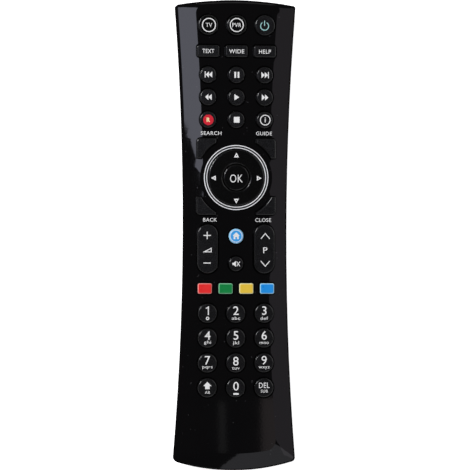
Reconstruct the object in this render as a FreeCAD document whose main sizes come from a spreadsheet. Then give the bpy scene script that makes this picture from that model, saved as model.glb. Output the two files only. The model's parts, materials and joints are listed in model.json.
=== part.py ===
import FreeCAD, Part
import Sketcher
import math
import os
from types import SimpleNamespace

# Hand-held remote control lying on its back, millimetres.
# +X is to the right of someone reading the keys, +Y points to the infrared window, +Z is up.

V = FreeCAD.Vector
doc = FreeCAD.newDocument("RemoteControl")

# Driving dimensions
dimensions = {
    # Outline of the case, seen from above
    "case_length": 220.6,
    "waist_half_width": 24.18,
    "waist_y": 3.0,
    "side_bow": 1335.0,
    "top_end_bow": 158.0,
    "bottom_end_bow": 95.5,
    "top_corner": 1.2,
    "bottom_corner": 2.0,
    # Heights and walls of the case
    "case_height": 22.2,
    "parting_drop": 9.2,
    "side_wall": 1.8,
    "face_wall": 2.0,
    "floor_wall": 1.8,
    "seam_step": 0.3,
    # Upper shell: sloping flanks and the rolled rim
    "flank_width": 8.8,
    "flank_drop": 1.45,
    "top_roll_width": 1.6,
    "bottom_roll_width": 8.0,
    "roll_corner_growth": 3.0,
    "rim_width": 0.7,
    "rim_drop": 0.9,
    "rim_middle_width": 0.2,
    "rim_middle_drop": 0.29,
    "flank_middle_drop": 0.61,
    "ceiling_step": 0.9,
    "ceiling_step_width": 2.6,
    # Lower shell: how far the hull has drawn in at four heights
    "hull_inset_high": 0.7,
    "hull_inset_middle": 2.0,
    "hull_inset_low": 4.4,
    "hull_inset_back": 7.5,
    "hull_high_share": 0.708,
    "hull_middle_share": 0.4,
    "hull_low_share": 0.1385,
    "hull_growth_high": 0.45,
    "hull_growth_middle": 1.58,
    "hull_growth_low": 3.15,
    "hull_growth_back": 4.5,
    "hull_wall_extra": 0.63,
    "hull_floor_margin": 1.08,
    # Keypad places along the case
    "column_share": 0.5525,
    "mode_row_inset": 11.89,
    "word_row_share": 0.7814,
    "transport_row_share": 0.6808,
    "transport_pitch_share": 0.0953,
    "pad_share": 0.2449,
    "rocker_share": -0.0582,
    "home_share": -0.0039,
    "mute_share": -0.1215,
    "colour_row_share": -0.2263,
    "colour_share": 0.4045,
    "digit_row_share": -0.3311,
    "digit_pitch_share": 0.1054,
    # Key sizes at the foot of each cap
    "mode_key_margin": 1.41,
    "transport_key_margin": 1.4,
    "digit_key_margin": 1.315,
    "home_key_radius": 3.45,
    "mute_key_radius": 3.45,
    "word_key_gap": 2.86,
    "word_key_height": 5.5,
    "word_key_corner": 1.1,
    "colour_key_gap": 2.88,
    "colour_key_height": 5.1,
    "colour_key_corner": 0.9,
    "rocker_width": 9.65,
    "rocker_length_share": 0.2076,
    "quarter_side_gap": 5.53,
    "quarter_top_margin": 0.5,
    "quarter_bottom_margin": 1.3,
    "quarter_end_x_share": 0.5,
    "quarter_end_y_share": 0.4787,
    "quarter_trim_gap": 3.5,
    "quarter_corner": 1.7,
    "nav_share": 0.546,
    "ok_key_gap": 1.5,
    # Key details
    "key_proud": 0.8,
    "key_edge": 0.6,
    "colour_key_bevel": 0.55,
    "key_clearance": 0.3,
    "tilt_clearance": 0.4,
    "key_bevel": 0.35,
    "flange_width": 0.75,
    "flange_thickness": 1.0,
    "flange_gap": 0.3,
    "tilt_gap": 0.95,
    "foot_radius": 1.6,
    "small_foot_radius": 1.0,
    "rocker_foot_y": 7.0,
    "pivot_rib_radius": 0.5,
    "pivot_rib_reach": 2.4,
    "pivot_rib_setback": 0.6,
    # Trim ring round the direction pad
    "trim_width": 1.7,
    "trim_seat_margin": 0.4,
    "trim_gap": 0.4,
    "trim_lip": 0.45,
    "trim_lip_bevel": 0.18,
    "trim_proud": 0.35,
    "trim_lip_height": 0.6,
    "plateau_width": 1.7,
    # Rocking ring that carries the direction pad
    "nav_rocker_width": 1.3,
    "nav_rocker_margin": 4.3,
    "nav_rocker_thickness": 0.7,
    "nav_foot_inset": 2.4,
    "nav_rocker_lift": 0.58,
    "nav_flange_lap": 0.6,
    "nav_relief": 0.35,
    "ok_flange_width": 0.8,
    "ok_flange_thickness": 0.6,
    "quarter_foot_shift": 0.3,
    # Board and rubber mat
    "board_drop": 7.2,
    "board_thickness": 1.2,
    "board_side_gap": 3.0,
    "board_end_gap": 7.0,
    "board_end_share": -0.7072,
    "mat_side_gap": 3.5,
    "mat_top_gap": 0.8,
    "mat_bottom_gap": 2.4,
    "mat_sheet": 0.8,
    "dome_rise": 0.9,
    "dome_foot_radius": 2.9,
    "dome_small_radius": 2.4,
    "dome_slope_width": 0.9,
    "dome_skin": 0.45,
    "contact_pill_radius": 0.9,
    "contact_pill_gap": 0.7,
    # Infrared window and its lamps
    "window_width": 14.5,
    "window_height": 4.4,
    "window_lift": 0.9,
    "window_proud": 0.2,
    "window_flange": 0.8,
    "window_play": 0.05,
    "lamp_radius": 1.4,
    "lamp_length": 2.2,
    "lamp_spacing": 6.4,
    "lamp_gap": 0.3,
    "lamp_clearance": 0.05,
    # Battery compartment, two small cells side by side
    "cell_floor_gap": 0.5,
    "cell_length": 43.7,
    "cell_nub_radius": 1.9,
    "cell_nub": 0.8,
    "cell_gap": 0.9,
    "cell_ceiling_gap": 0.4,
    "bay_side_gap": 1.95,
    "bay_length": 50.0,
    "bay_end_gap": 6.6,
    "bay_wall": 1.2,
    "bay_board_gap": 0.8,
    "contact_thickness": 0.4,
    "contact_gap": 3.0,
    "contact_height_margin": 1.9,
    "contact_bump": 0.6,
    "contact_bump_radius": 1.5,
    "contact_tab_width": 2.1,
    "spring_radius": 2.6,
    "spring_wire": 0.3,
    "spring_pitch": 1.1,
    # Battery door
    "door_side_gap": 1.2,
    "door_gap": 0.2,
    "door_lap": 2.4,
    "door_thickness": 1.6,
    "door_end_drop": 4.4,
    "door_tongue": 0.9,
    "door_tongue_base": 0.95,
    "grip_width": 13.0,
    "grip_groove": 0.8,
    "grip_pitch": 1.8,
    "grip_depth": 0.45,
    "grip_setback": 7.0,
    # Screws
    "screw_radius": 1.0,
    "screw_head_radius": 1.9,
    "screw_head_height": 1.3,
    "case_screw_gap": 3.5,
    "case_screw_inset": 14.0,
    "front_screw_x": 6.6,
    "front_screw_share": 0.85,
    "boss_radius": 2.2,
    "head_recess": 2.4,
    "board_screw_inset": 1.8,
    "board_screw_high_gap": 4.45,
    "board_screw_low_share": -0.1745,
    "board_boss_radius": 1.5,
    "board_screw_radius": 0.7,
    "board_screw_head": 1.3,
    "board_screw_head_height": 0.8,
    "screw_play": 0.03,
    "shank_clearance": 0.2,
    "case_screw_reach": 4.0,
    "post_radius": 2.8,
    # Parts under the board
    "chip_width": 7.6,
    "chip_length": 10.4,
    "chip_height": 1.7,
    "chip_share": 0.1636,
    "chip_lead_span": 10.0,
    "chip_lead_pitch": 1.27,
    "chip_lead_width": 0.42,
    "chip_lead_thickness": 0.2,
    "resonator_x": 11.0,
    "resonator_length": 10.8,
    "resonator_width": 4.4,
    "resonator_height": 3.4,
    "capacitor_radius": 2.5,
    "capacitor_length": 8.0,
    "capacitor_x": -12.0,
    "capacitor_neck_radius": 2.3,
    "capacitor_neck_place": 6.7,
    "capacitor_neck_half": 0.3,
}
grip_count = 5
lead_count = 8

sheet = doc.addObject("Spreadsheet::Sheet", "Sizes")
for row, (name, value) in enumerate(dimensions.items(), start=1):
    sheet.set(f"A{row}", name)
    sheet.set(f"B{row}", str(value))
    sheet.setAlias(f"B{row}", name)
doc.recompute()


class Size:
    # A length that knows both its value and the expression it comes from.
    def __init__(self, value, text):
        self.value = float(value)
        self.text = text

    def __add__(self, other):
        other = as_size(other)
        return Size(self.value + other.value, f"({self.text} + {other.text})")

    def __sub__(self, other):
        other = as_size(other)
        return Size(self.value - other.value, f"({self.text} - {other.text})")

    def __mul__(self, other):
        other = as_size(other)
        return Size(self.value * other.value, f"({self.text} * {other.text})")

    def __truediv__(self, other):
        other = as_size(other)
        return Size(self.value / other.value, f"({self.text} / {other.text})")

    def __neg__(self):
        return Size(-self.value, f"(-1 * {self.text})")

    __radd__ = __add__
    __rmul__ = __mul__


def as_size(number):
    if isinstance(number, Size):
        return number
    return Size(number, repr(float(number)))


s = SimpleNamespace(**{name: Size(value, f"Sizes.{name}") for name, value in dimensions.items()})
zero = as_size(0)

# Sizes that follow from others: a gap from a neighbour, or a share of a length
half_length = s.case_length / 2
s.parting_height = s.case_height - s.parting_drop
s.hull_high = s.parting_height * s.hull_high_share
s.hull_middle = s.parting_height * s.hull_middle_share
s.hull_low = s.parting_height * s.hull_low_share

s.column_pitch = s.waist_half_width * s.column_share
s.colour_pitch = s.waist_half_width * s.colour_share
s.mode_row_y = half_length - s.mode_row_inset
s.word_row_y = half_length * s.word_row_share
s.transport_row_y = half_length * s.transport_row_share
s.transport_row_pitch = half_length * s.transport_pitch_share
s.pad_y = half_length * s.pad_share
s.rocker_y = half_length * s.rocker_share
s.home_y = half_length * s.home_share
s.mute_y = half_length * s.mute_share
s.colour_row_y = half_length * s.colour_row_share
s.digit_row_y = half_length * s.digit_row_share
s.digit_row_pitch = half_length * s.digit_pitch_share

s.mode_key_radius = (s.mode_row_y - s.word_row_y) / 2 - s.mode_key_margin
s.transport_key_radius = s.transport_row_pitch / 2 - s.transport_key_margin
s.digit_key_radius = s.digit_row_pitch / 2 - s.digit_key_margin
s.word_key_width = s.column_pitch - s.word_key_gap
s.colour_key_width = s.colour_pitch - s.colour_key_gap
s.rocker_length = half_length * s.rocker_length_share

s.nav_outer_radius = s.waist_half_width * s.nav_share
s.trim_inner_radius = s.nav_outer_radius + s.trim_gap
s.trim_outer_radius = s.trim_inner_radius + s.trim_width
s.trim_seat_radius = s.trim_outer_radius - s.trim_seat_margin
s.plateau_radius = s.trim_outer_radius + s.plateau_width
s.quarter_inner_radius = s.trim_outer_radius + s.quarter_trim_gap
s.quarter_outer_x = s.waist_half_width - s.quarter_side_gap
s.quarter_outer_top = s.quarter_inner_radius - s.quarter_top_margin
s.quarter_outer_bottom = s.quarter_inner_radius - s.quarter_bottom_margin
s.quarter_end_x = s.quarter_inner_radius * s.quarter_end_x_share
s.quarter_end_y = s.quarter_inner_radius * s.quarter_end_y_share
s.nav_rocker_outer = s.nav_outer_radius - s.nav_rocker_margin
s.nav_rocker_inner = s.nav_rocker_outer - s.nav_rocker_width
s.nav_foot_place = s.nav_outer_radius - s.nav_foot_inset
s.ok_key_radius = s.nav_rocker_inner - s.ok_key_gap

s.board_bottom = s.case_height - s.board_drop
s.board_half_width = s.waist_half_width - s.board_side_gap
s.board_top_y = half_length - s.board_end_gap
s.board_bottom_y = half_length * s.board_end_share
s.mat_half_width = s.board_half_width - s.mat_side_gap
s.mat_top_y = s.board_top_y - s.mat_top_gap
s.mat_bottom_y = s.board_bottom_y + s.mat_bottom_gap
s.window_base = s.parting_height + s.window_lift
s.chip_y = half_length * s.chip_share

s.bay_ceiling = s.board_bottom - s.bay_board_gap - s.bay_wall
s.cell_radius = (s.bay_ceiling - s.door_thickness - s.cell_floor_gap - s.cell_ceiling_gap) / 2
s.cell_height = s.door_thickness + s.cell_floor_gap + s.cell_radius
s.cell_spacing = s.cell_radius * 2 + s.cell_gap
s.bay_half_width = s.cell_spacing / 2 + s.cell_radius + s.bay_side_gap
s.bay_end_y = s.bay_end_gap + s.bay_length - half_length
s.contact_width = s.cell_spacing - s.contact_gap
s.contact_height = s.cell_radius * 2 - s.contact_height_margin
s.door_half_width = s.bay_half_width - s.door_side_gap
s.door_top_y = s.bay_end_y + s.door_lap
s.door_end_height = s.parting_height - s.door_end_drop
s.grip_y = s.door_top_y - s.grip_setback

s.case_screw_x = s.bay_half_width + s.bay_wall + s.case_screw_gap
s.case_screw_y = s.case_screw_inset - half_length
s.front_screw_y = half_length * s.front_screw_share
s.board_screw_x = s.board_half_width - s.board_screw_inset
s.board_screw_high_y = s.pad_y + s.quarter_outer_top + s.board_screw_high_gap
s.board_screw_low_y = half_length * s.board_screw_low_share

# Heights that several pieces share
ceiling = s.case_height - s.face_wall
board_top = s.board_bottom + s.board_thickness
sheet_top = board_top + s.mat_sheet
dome_top = sheet_top + s.dome_rise
key_top = s.case_height + s.key_proud
flange_top = ceiling - s.flange_gap
flange_bottom = flange_top - s.flange_thickness
tilt_flange_top = ceiling - s.tilt_gap
tilt_flange_bottom = tilt_flange_top - s.flange_thickness


# Helpers for bodies, sketches and features

def bind(thing, path, length):
    thing.setExpression(path, as_size(length).text)


def new_body(label, x=zero, y=zero, z=zero):
    body = doc.addObject("PartDesign::Body", label)
    body.Label = label
    for axis, length in zip("xyz", (x, y, z)):
        if length is not zero:
            bind(body, f"Placement.Base.{axis}", length)
    return body


class Drawing:
    # A sketch whose constraints are collected first and then added together.
    def __init__(self, body, name, plane="XY_Plane", height=zero):
        self.sketch = body.newObject("Sketcher::SketchObject", f"{body.Name}_{name}")
        origin_plane = [feature for feature in body.Origin.OriginFeatures if feature.Role == plane][0]
        self.sketch.AttachmentSupport = (origin_plane, [""])
        self.sketch.MapMode = "FlatFace"
        if height is not zero:
            bind(self.sketch, "AttachmentOffset.Base.z", height)
        self.constraints = []
        self.lengths = {}

    def add(self, shape):
        return self.sketch.addGeometry(shape)

    def hold(self, length, *parts):
        if length is not None:
            self.lengths[len(self.constraints)] = length
            parts += (length.value,)
        self.constraints.append(Sketcher.Constraint(*parts))

    def place(self, index, end, x, y):
        for kind, length, axis in (("DistanceX", x, -2), ("DistanceY", y, -1)):
            if length is zero:
                self.hold(None, "PointOnObject", index, end, axis)
            else:
                self.hold(length, kind, -1, 1, index, end)

    def finish(self):
        if self.constraints:
            self.sketch.addConstraint(self.constraints)
            for number, length in self.lengths.items():
                bind(self.sketch, f"Constraints[{number}]", length)
            self.constraints = []
        return self.sketch


def circle(drawing, x, y, radius):
    index = drawing.add(Part.Circle(V(x.value, y.value, 0), V(0, 0, 1), radius.value))
    drawing.place(index, 3, x, y)
    drawing.hold(radius, "Radius", index)


def arc_between(start, end, radius, leftward):
    # The arc turns left from start to end, or right when leftward is false.
    chord = end - start
    side = V(-chord.y, chord.x, 0).normalize() * (1 if leftward else -1)
    reach = math.sqrt(max(radius ** 2 - (chord.Length / 2) ** 2, 0.0))
    centre = (start + end) * 0.5 + side * reach
    first, last = (start, end) if leftward else (end, start)
    angles = [math.atan2(p.y - centre.y, p.x - centre.x) for p in (first, last)]
    return Part.ArcOfCircle(Part.Circle(centre, V(0, 0, 1), radius), angles[0], angles[1])


def chain(drawing, corners):
    # Closed outline. A corner is (x, y), or (x, y, radius, leftward) where an arc leaves it.
    edges = []
    for number, corner in enumerate(corners):
        following = corners[(number + 1) % len(corners)]
        start = V(corner[0].value, corner[1].value, 0)
        end = V(following[0].value, following[1].value, 0)
        if len(corner) == 2:
            edges.append((drawing.add(Part.LineSegment(start, end)), 1, 2))
            continue
        radius, leftward = corner[2:]
        index = drawing.add(arc_between(start, end, radius.value, leftward))
        if (end - start).Length > radius.value * 1.999:
            # A half turn between two corners at one height: its centre is level with them.
            drawing.hold(corner[1], "DistanceY", -1, 1, index, 3)
        else:
            drawing.hold(radius, "Radius", index)
        edges.append((index, 1, 2) if leftward else (index, 2, 1))
    for number, (index, first, last) in enumerate(edges):
        drawing.place(index, first, corners[number][0], corners[number][1])
        other, other_first = edges[(number + 1) % len(edges)][:2]
        drawing.hold(None, "Coincident", index, last, other, other_first)


def rectangle(drawing, low_x, low_y, high_x, high_y):
    chain(drawing, [(low_x, low_y), (high_x, low_y), (high_x, high_y), (low_x, high_y)])


def rounded_rectangle(drawing, x, y, width, height, corner):
    left, right = x - width / 2, x + width / 2
    low, high = y - height / 2, y + height / 2
    chain(drawing, [
        (left + corner, low), (right - corner, low, corner, True),
        (right, low + corner), (right, high - corner, corner, True),
        (right - corner, high), (left + corner, high, corner, True),
        (left, high - corner), (left, low + corner, corner, True)])


def pad(body, drawing, length, taper=None, downwards=False):
    sketch = drawing.finish()
    feature = body.newObject("PartDesign::Pad", f"{sketch.Name}_pad")
    feature.Profile = sketch
    bind(feature, "Length", length)
    feature.Reversed = downwards
    if taper is not None:
        bind(feature, "TaperAngle", taper)
    doc.recompute()
    return feature


def pocket(body, drawing, length, taper=None, upwards=False):
    before = body.Shape.Volume
    sketch = drawing.finish()
    feature = body.newObject("PartDesign::Pocket", f"{sketch.Name}_pocket")
    feature.Profile = sketch
    bind(feature, "Length", length)
    feature.Reversed = upwards
    if taper is not None:
        bind(feature, "TaperAngle", taper)
    doc.recompute()
    check_cut(feature, before)
    return feature


def check_cut(feature, before):
    if feature.Shape.Volume >= before - 1e-4:
        raise ValueError(f"{feature.Name} cuts nothing")


def turn(body, drawing, kind="PartDesign::Revolution"):
    before = body.Shape.Volume if body.Tip else 0
    sketch = drawing.finish()
    feature = body.newObject(kind, f"{sketch.Name}_turned")
    feature.Profile = sketch
    feature.ReferenceAxis = (sketch, ["V_Axis"])
    feature.Angle = 360
    doc.recompute()
    if kind == "PartDesign::Groove":
        check_cut(feature, before)
    return feature


def flat_face(shape, height):
    for number, face in enumerate(shape.Faces, start=1):
        box = face.BoundBox
        if box.ZLength < 1e-6 and abs(box.ZMin - height.value) < 1e-6:
            return f"Face{number}"
    raise ValueError(f"no flat face at {height.value}")


def dress(body, kind, names, size):
    base = body.Tip
    feature = body.newObject(kind, f"{base.Name}_dressed")
    feature.Base = (base, names)
    bind(feature, "Size" if kind == "PartDesign::Chamfer" else "Radius", size)
    doc.recompute()
    return feature


# Case outline: four long arcs joined by four corner arcs, drawn in by an inset

def meet(first, first_radius, second, second_radius, toward):
    # Crossing point of two circles on the side of the given point.
    gap = (second - first).Length
    along = (first_radius ** 2 - second_radius ** 2 + gap ** 2) / (2 * gap)
    across = math.sqrt(first_radius ** 2 - along ** 2)
    direction = (second - first).normalize()
    normal = V(-direction.y, direction.x, 0)
    options = [first + direction * along + normal * sign * across for sign in (1, -1)]
    return min(options, key=lambda point: (point - toward).Length)


def outline(drawing, side_inset, top_inset, bottom_inset, top_corner, bottom_corner):
    side_x = s.waist_half_width + s.side_bow
    side_radius = s.side_bow + side_inset
    top_y = half_length - s.top_end_bow
    top_radius = s.top_end_bow - top_inset
    bottom_y = s.bottom_end_bow - half_length
    bottom_radius = s.bottom_end_bow - bottom_inset
    right = V(side_x.value, s.waist_y.value, 0)
    left = V(-side_x.value, s.waist_y.value, 0)
    top = V(0, top_y.value, 0)
    bottom = V(0, bottom_y.value, 0)
    reach = s.waist_half_width.value
    ring = []
    for side, end, end_radius, corner, sign_x, sign_y in (
            (right, top, top_radius, top_corner, 1, 1),
            (left, top, top_radius, top_corner, -1, 1),
            (left, bottom, bottom_radius, bottom_corner, -1, -1),
            (right, bottom, bottom_radius, bottom_corner, 1, -1)):
        toward = V(sign_x * reach, sign_y * half_length.value, 0)
        centre = meet(side, side_radius.value + corner.value, end, end_radius.value - corner.value, toward)
        on_side = centre + (side - centre).normalize() * corner.value
        on_end = centre + (centre - end).normalize() * corner.value
        ring.append((centre, on_side, on_end, corner))

    def arc(centre, radius, start, end):
        angles = [math.atan2(p.y - centre.y, p.x - centre.x) for p in (start, end)]
        shape = Part.ArcOfCircle(Part.Circle(centre, V(0, 0, 1), radius), angles[0], angles[1])
        return drawing.add(shape)

    top_right, top_left, bottom_left, bottom_right = ring
    edges = [
        arc(right, side_radius.value, top_right[1], bottom_right[1]),
        arc(top_right[0], top_corner.value, top_right[1], top_right[2]),
        arc(top, top_radius.value, top_right[2], top_left[2]),
        arc(top_left[0], top_corner.value, top_left[2], top_left[1]),
        arc(left, side_radius.value, bottom_left[1], top_left[1]),
        arc(bottom_left[0], bottom_corner.value, bottom_left[1], bottom_left[2]),
        arc(bottom, bottom_radius.value, bottom_left[2], bottom_right[2]),
        arc(bottom_right[0], bottom_corner.value, bottom_right[2], bottom_right[1])]
    radii = [side_radius, top_corner, top_radius, top_corner,
             side_radius, bottom_corner, bottom_radius, bottom_corner]
    for index, radius in zip(edges, radii):
        drawing.hold(radius, "Radius", index)
    drawing.place(edges[0], 3, side_x, s.waist_y)
    drawing.place(edges[4], 3, -side_x, s.waist_y)
    drawing.place(edges[2], 3, zero, top_y)
    drawing.place(edges[6], 3, zero, bottom_y)
    joints = [(0, 1, 1, 1), (1, 2, 2, 1), (2, 2, 3, 1), (3, 2, 4, 2),
              (4, 1, 5, 1), (5, 2, 6, 1), (6, 2, 7, 1), (7, 2, 0, 2)]
    for one, one_end, other, other_end in joints:
        drawing.hold(None, "Tangent", edges[one], one_end, edges[other], other_end)


def section(body, name, height, side_inset, top_inset=None, bottom_inset=None, growth=zero):
    drawing = Drawing(body, name, height=height)
    top_inset = side_inset if top_inset is None else top_inset
    bottom_inset = side_inset if bottom_inset is None else bottom_inset
    outline(drawing, side_inset, top_inset, bottom_inset, s.top_corner + growth, s.bottom_corner + growth)
    return drawing


def loft(body, sections, kind="PartDesign::AdditiveLoft"):
    before = body.Shape.Volume if body.Tip else 0
    sections = [drawing.finish() for drawing in sections]
    feature = body.newObject(kind, f"{sections[0].Name}_loft")
    feature.Profile = sections[0]
    feature.Sections = sections[1:]
    doc.recompute()
    if kind == "PartDesign::SubtractiveLoft":
        check_cut(feature, before)
    return feature


# Keys: what each one is, where it stands and the shape of its cap

columns = (-s.column_pitch, zero, s.column_pitch)
half_colour = s.colour_pitch / 2
colour_places = (-(half_colour + s.colour_pitch), -half_colour, half_colour, half_colour + s.colour_pitch)


def row_of(names, places, y, shape, **sizes):
    return [SimpleNamespace(name=name, x=x, y=y, shape=shape, **sizes) for name, x in zip(names, places)]


keys = row_of(["key_tv", "key_pvr", "key_power"], columns, s.mode_row_y, "round", radius=s.mode_key_radius)
keys += row_of(["key_text", "key_zoom", "key_help"], columns, s.word_row_y, "slab",
               width=s.word_key_width, height=s.word_key_height, corner=s.word_key_corner)
transport_names = [
    ["key_skip_back", "key_pause", "key_skip_forward"],
    ["key_rewind", "key_play", "key_fast_forward"],
    ["key_record", "key_stop", "key_info"]]
for step, names in enumerate(transport_names):
    keys += row_of(names, columns, s.transport_row_y - s.transport_row_pitch * step, "round",
                   radius=s.transport_key_radius)
for name, sign_x, sign_y, outer_y in (
        ("key_search", -1, 1, s.quarter_outer_top), ("key_guide", 1, 1, s.quarter_outer_top),
        ("key_back", -1, -1, s.quarter_outer_bottom), ("key_close", 1, -1, s.quarter_outer_bottom)):
    keys.append(SimpleNamespace(name=name, x=zero, y=s.pad_y, shape="quarter",
                                sign_x=sign_x, sign_y=sign_y, outer_y=outer_y))
keys += row_of(["volume_rocker", "program_rocker"], [columns[0], columns[2]], s.rocker_y, "rocker")
keys += row_of(["key_home"], [zero], s.home_y, "round", radius=s.home_key_radius)
keys += row_of(["key_mute"], [zero], s.mute_y, "round", radius=s.mute_key_radius)
keys += row_of(["key_red", "key_green", "key_yellow", "key_blue"], colour_places, s.colour_row_y, "slab",
               width=s.colour_key_width, height=s.colour_key_height, corner=s.colour_key_corner,
               bevel=s.colour_key_bevel)
digit_names = [
    ["key_1", "key_2", "key_3"], ["key_4", "key_5", "key_6"],
    ["key_7", "key_8", "key_9"], ["key_shift", "key_0", "key_delete"]]
for step, names in enumerate(digit_names):
    keys += row_of(names, columns, s.digit_row_y - s.digit_row_pitch * step, "round",
                   radius=s.digit_key_radius)


def draw_key(drawing, key, grow, in_place):
    # The cap's outline grown by a margin, in its place on the case or about its own centre.
    x = key.x if in_place else zero
    y = key.y if in_place else zero
    if key.shape == "round":
        circle(drawing, x, y, key.radius + grow)
    elif key.shape == "slab":
        rounded_rectangle(drawing, x, y, key.width + grow * 2, key.height + grow * 2, key.corner + grow)
    elif key.shape == "rocker":
        half_width = s.rocker_width / 2 + grow
        straight = s.rocker_length / 2 - s.rocker_width / 2
        chain(drawing, [
            (x + half_width, y - straight), (x + half_width, y + straight, half_width, True),
            (x - half_width, y + straight), (x - half_width, y - straight, half_width, True)])
    else:
        draw_quarter(drawing, key, x, y, grow)


def root(length):
    return Size(math.sqrt(length.value), f"sqrt({length.text})")


def draw_quarter(drawing, key, x, y, grow):
    # A corner piece with a hollow side that follows the direction pad.
    outer_x = s.quarter_outer_x + grow
    outer_y = key.outer_y + grow
    end_x = s.quarter_end_x - grow
    end_y = s.quarter_end_y - grow
    hollow = s.quarter_inner_radius - grow
    corner = s.quarter_corner + grow
    arc_y = root(hollow * hollow - end_x * end_x)
    arc_x = root(hollow * hollow - end_y * end_y)
    mirrored = key.sign_x * key.sign_y < 0

    def at(far_x, far_y):
        return x + far_x * key.sign_x, y + far_y * key.sign_y

    chain(drawing, [
        at(end_x, outer_y), at(end_x, arc_y) + (hollow, mirrored),
        at(arc_x, end_y), at(outer_x, end_y),
        at(outer_x, outer_y - corner) + (corner, not mirrored), at(outer_x - corner, outer_y)])


# Small pieces and groups

def cylinder(name, radius, height, x, y, z):
    made = doc.addObject("Part::Cylinder", name)
    bind(made, "Radius", radius)
    bind(made, "Height", height)
    for axis, length in zip("xyz", (x, y, z)):
        bind(made, f"Placement.Base.{axis}", length)
    return made


def fuse(name, pieces):
    made = doc.addObject("Part::MultiFuse", name)
    made.Shapes = pieces
    return made


def group(label, pieces):
    # Separate solids that share one node.
    made = doc.addObject("Part::Compound", label)
    made.Label = label
    made.Links = pieces
    return made


def both_sides(x, y):
    return [(-x, y), (x, y)]


nodes = []

# Upper shell
rim_height = s.case_height - s.flank_drop
wall_height = rim_height - s.rim_drop
stepped_ceiling = ceiling - s.ceiling_step
front_screws = both_sides(s.front_screw_x, s.front_screw_y)
rear_screws = both_sides(s.case_screw_x, s.case_screw_y)
case_screw_places = front_screws + rear_screws
board_screw_places = (both_sides(s.board_screw_x, s.board_screw_high_y)
                      + both_sides(s.board_screw_x, s.board_screw_low_y))
case_screw_top = s.parting_height + s.case_screw_reach
board_screw_top = ceiling - s.flange_gap

shell = new_body("top_shell")
nodes.append(shell)
wall = section(shell, "wall", s.parting_height, zero)
pad(shell, wall, wall_height - s.parting_height)
rim = [
    section(shell, "rim_foot", wall_height, zero),
    section(shell, "rim_middle", rim_height - s.rim_middle_drop, s.rim_middle_width),
    section(shell, "rim_crest", rim_height, s.rim_width)]
loft(shell, rim)
flank = [
    section(shell, "flank_foot", rim_height, s.rim_width),
    section(shell, "flank_middle", s.case_height - s.flank_middle_drop, s.flank_width / 2,
            s.top_roll_width / 2, s.bottom_roll_width / 2, growth=s.roll_corner_growth / 2),
    section(shell, "flank_head", s.case_height, s.flank_width, s.top_roll_width, s.bottom_roll_width,
            growth=s.roll_corner_growth)]
loft(shell, flank)
plateau = Drawing(shell, "plateau", height=rim_height)
circle(plateau, zero, s.pad_y, s.plateau_radius)
pad(shell, plateau, s.flank_drop)
hollow = section(shell, "hollow", s.parting_height, s.side_wall)
pocket(shell, hollow, stepped_ceiling - s.parting_height, upwards=True)
upper_hollow = section(shell, "upper_hollow", stepped_ceiling, s.side_wall + s.ceiling_step_width)
pocket(shell, upper_hollow, s.ceiling_step, upwards=True)

case_bosses = Drawing(shell, "case_bosses", height=s.parting_height)
case_pilots = Drawing(shell, "case_pilots", height=s.parting_height)
for x, y in case_screw_places:
    circle(case_bosses, x, y, s.boss_radius)
    circle(case_pilots, x, y, s.screw_radius + s.screw_play)
pad(shell, case_bosses, ceiling - s.parting_height + s.flange_gap)
pocket(shell, case_pilots, case_screw_top - s.parting_height + s.flange_gap, upwards=True)
board_bosses = Drawing(shell, "board_bosses", height=board_top)
board_pilots = Drawing(shell, "board_pilots", height=board_top)
for x, y in board_screw_places:
    circle(board_bosses, x, y, s.board_boss_radius)
    circle(board_pilots, x, y, s.board_screw_radius + s.screw_play)
pad(shell, board_bosses, ceiling - board_top + s.flange_gap)
pocket(shell, board_pilots, board_screw_top - board_top, upwards=True)

# The openings are one tool: each key's outline, straight through the face and flared at the top
flare_angle = as_size(45)
opening_tool = new_body("opening_tool")
key_groups = {}
for key in keys:
    key_groups.setdefault((key.shape, key.y.text), []).append(key)
for number, row_keys in enumerate(key_groups.values(), start=1):
    margin = s.tilt_clearance if row_keys[0].shape == "rocker" else s.key_clearance
    opening = Drawing(opening_tool, f"row_{number}", height=s.case_height - s.key_bevel)
    for key in row_keys:
        draw_key(opening, key, margin, True)
    pad(opening_tool, opening, s.face_wall + s.ceiling_step, downwards=True)
    pad(opening_tool, opening, s.key_bevel + s.flange_gap, taper=flare_angle)

# The direction pad's opening: a through hole and a seat for the trim ring
pad_opening = new_body("pad_opening", y=s.pad_y)
profile = Drawing(pad_opening, "profile", plane="XZ_Plane")
trim_seat = s.case_height - s.trim_lip_height
chain(profile, [
    (zero, ceiling - s.flange_gap), (s.trim_seat_radius, ceiling - s.flange_gap),
    (s.trim_seat_radius, trim_seat), (s.trim_outer_radius, trim_seat),
    (s.trim_outer_radius, key_top), (zero, key_top)])
turn(pad_opening, profile)

# The window's opening in the end wall
window_top = s.window_base + s.window_height
window_opening = new_body("window_opening")
notch = Drawing(window_opening, "notch", height=s.parting_height - s.window_play)
window_half = s.window_width / 2 + s.window_play
rectangle(notch, -window_half, half_length - s.side_wall - s.window_flange,
          window_half, half_length + s.window_flange)
pad(window_opening, notch, window_top + s.window_play * 2 - s.parting_height)

for tool in (opening_tool, pad_opening, window_opening):
    before = shell.Shape.Volume
    cut_openings = shell.newObject("PartDesign::Boolean", f"cut_{tool.Name}")
    cut_openings.setObjects([tool])
    cut_openings.Type = "Cut"
    doc.recompute()
    check_cut(cut_openings, before)


# Lower shell: a hull that draws in towards a flat back

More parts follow.
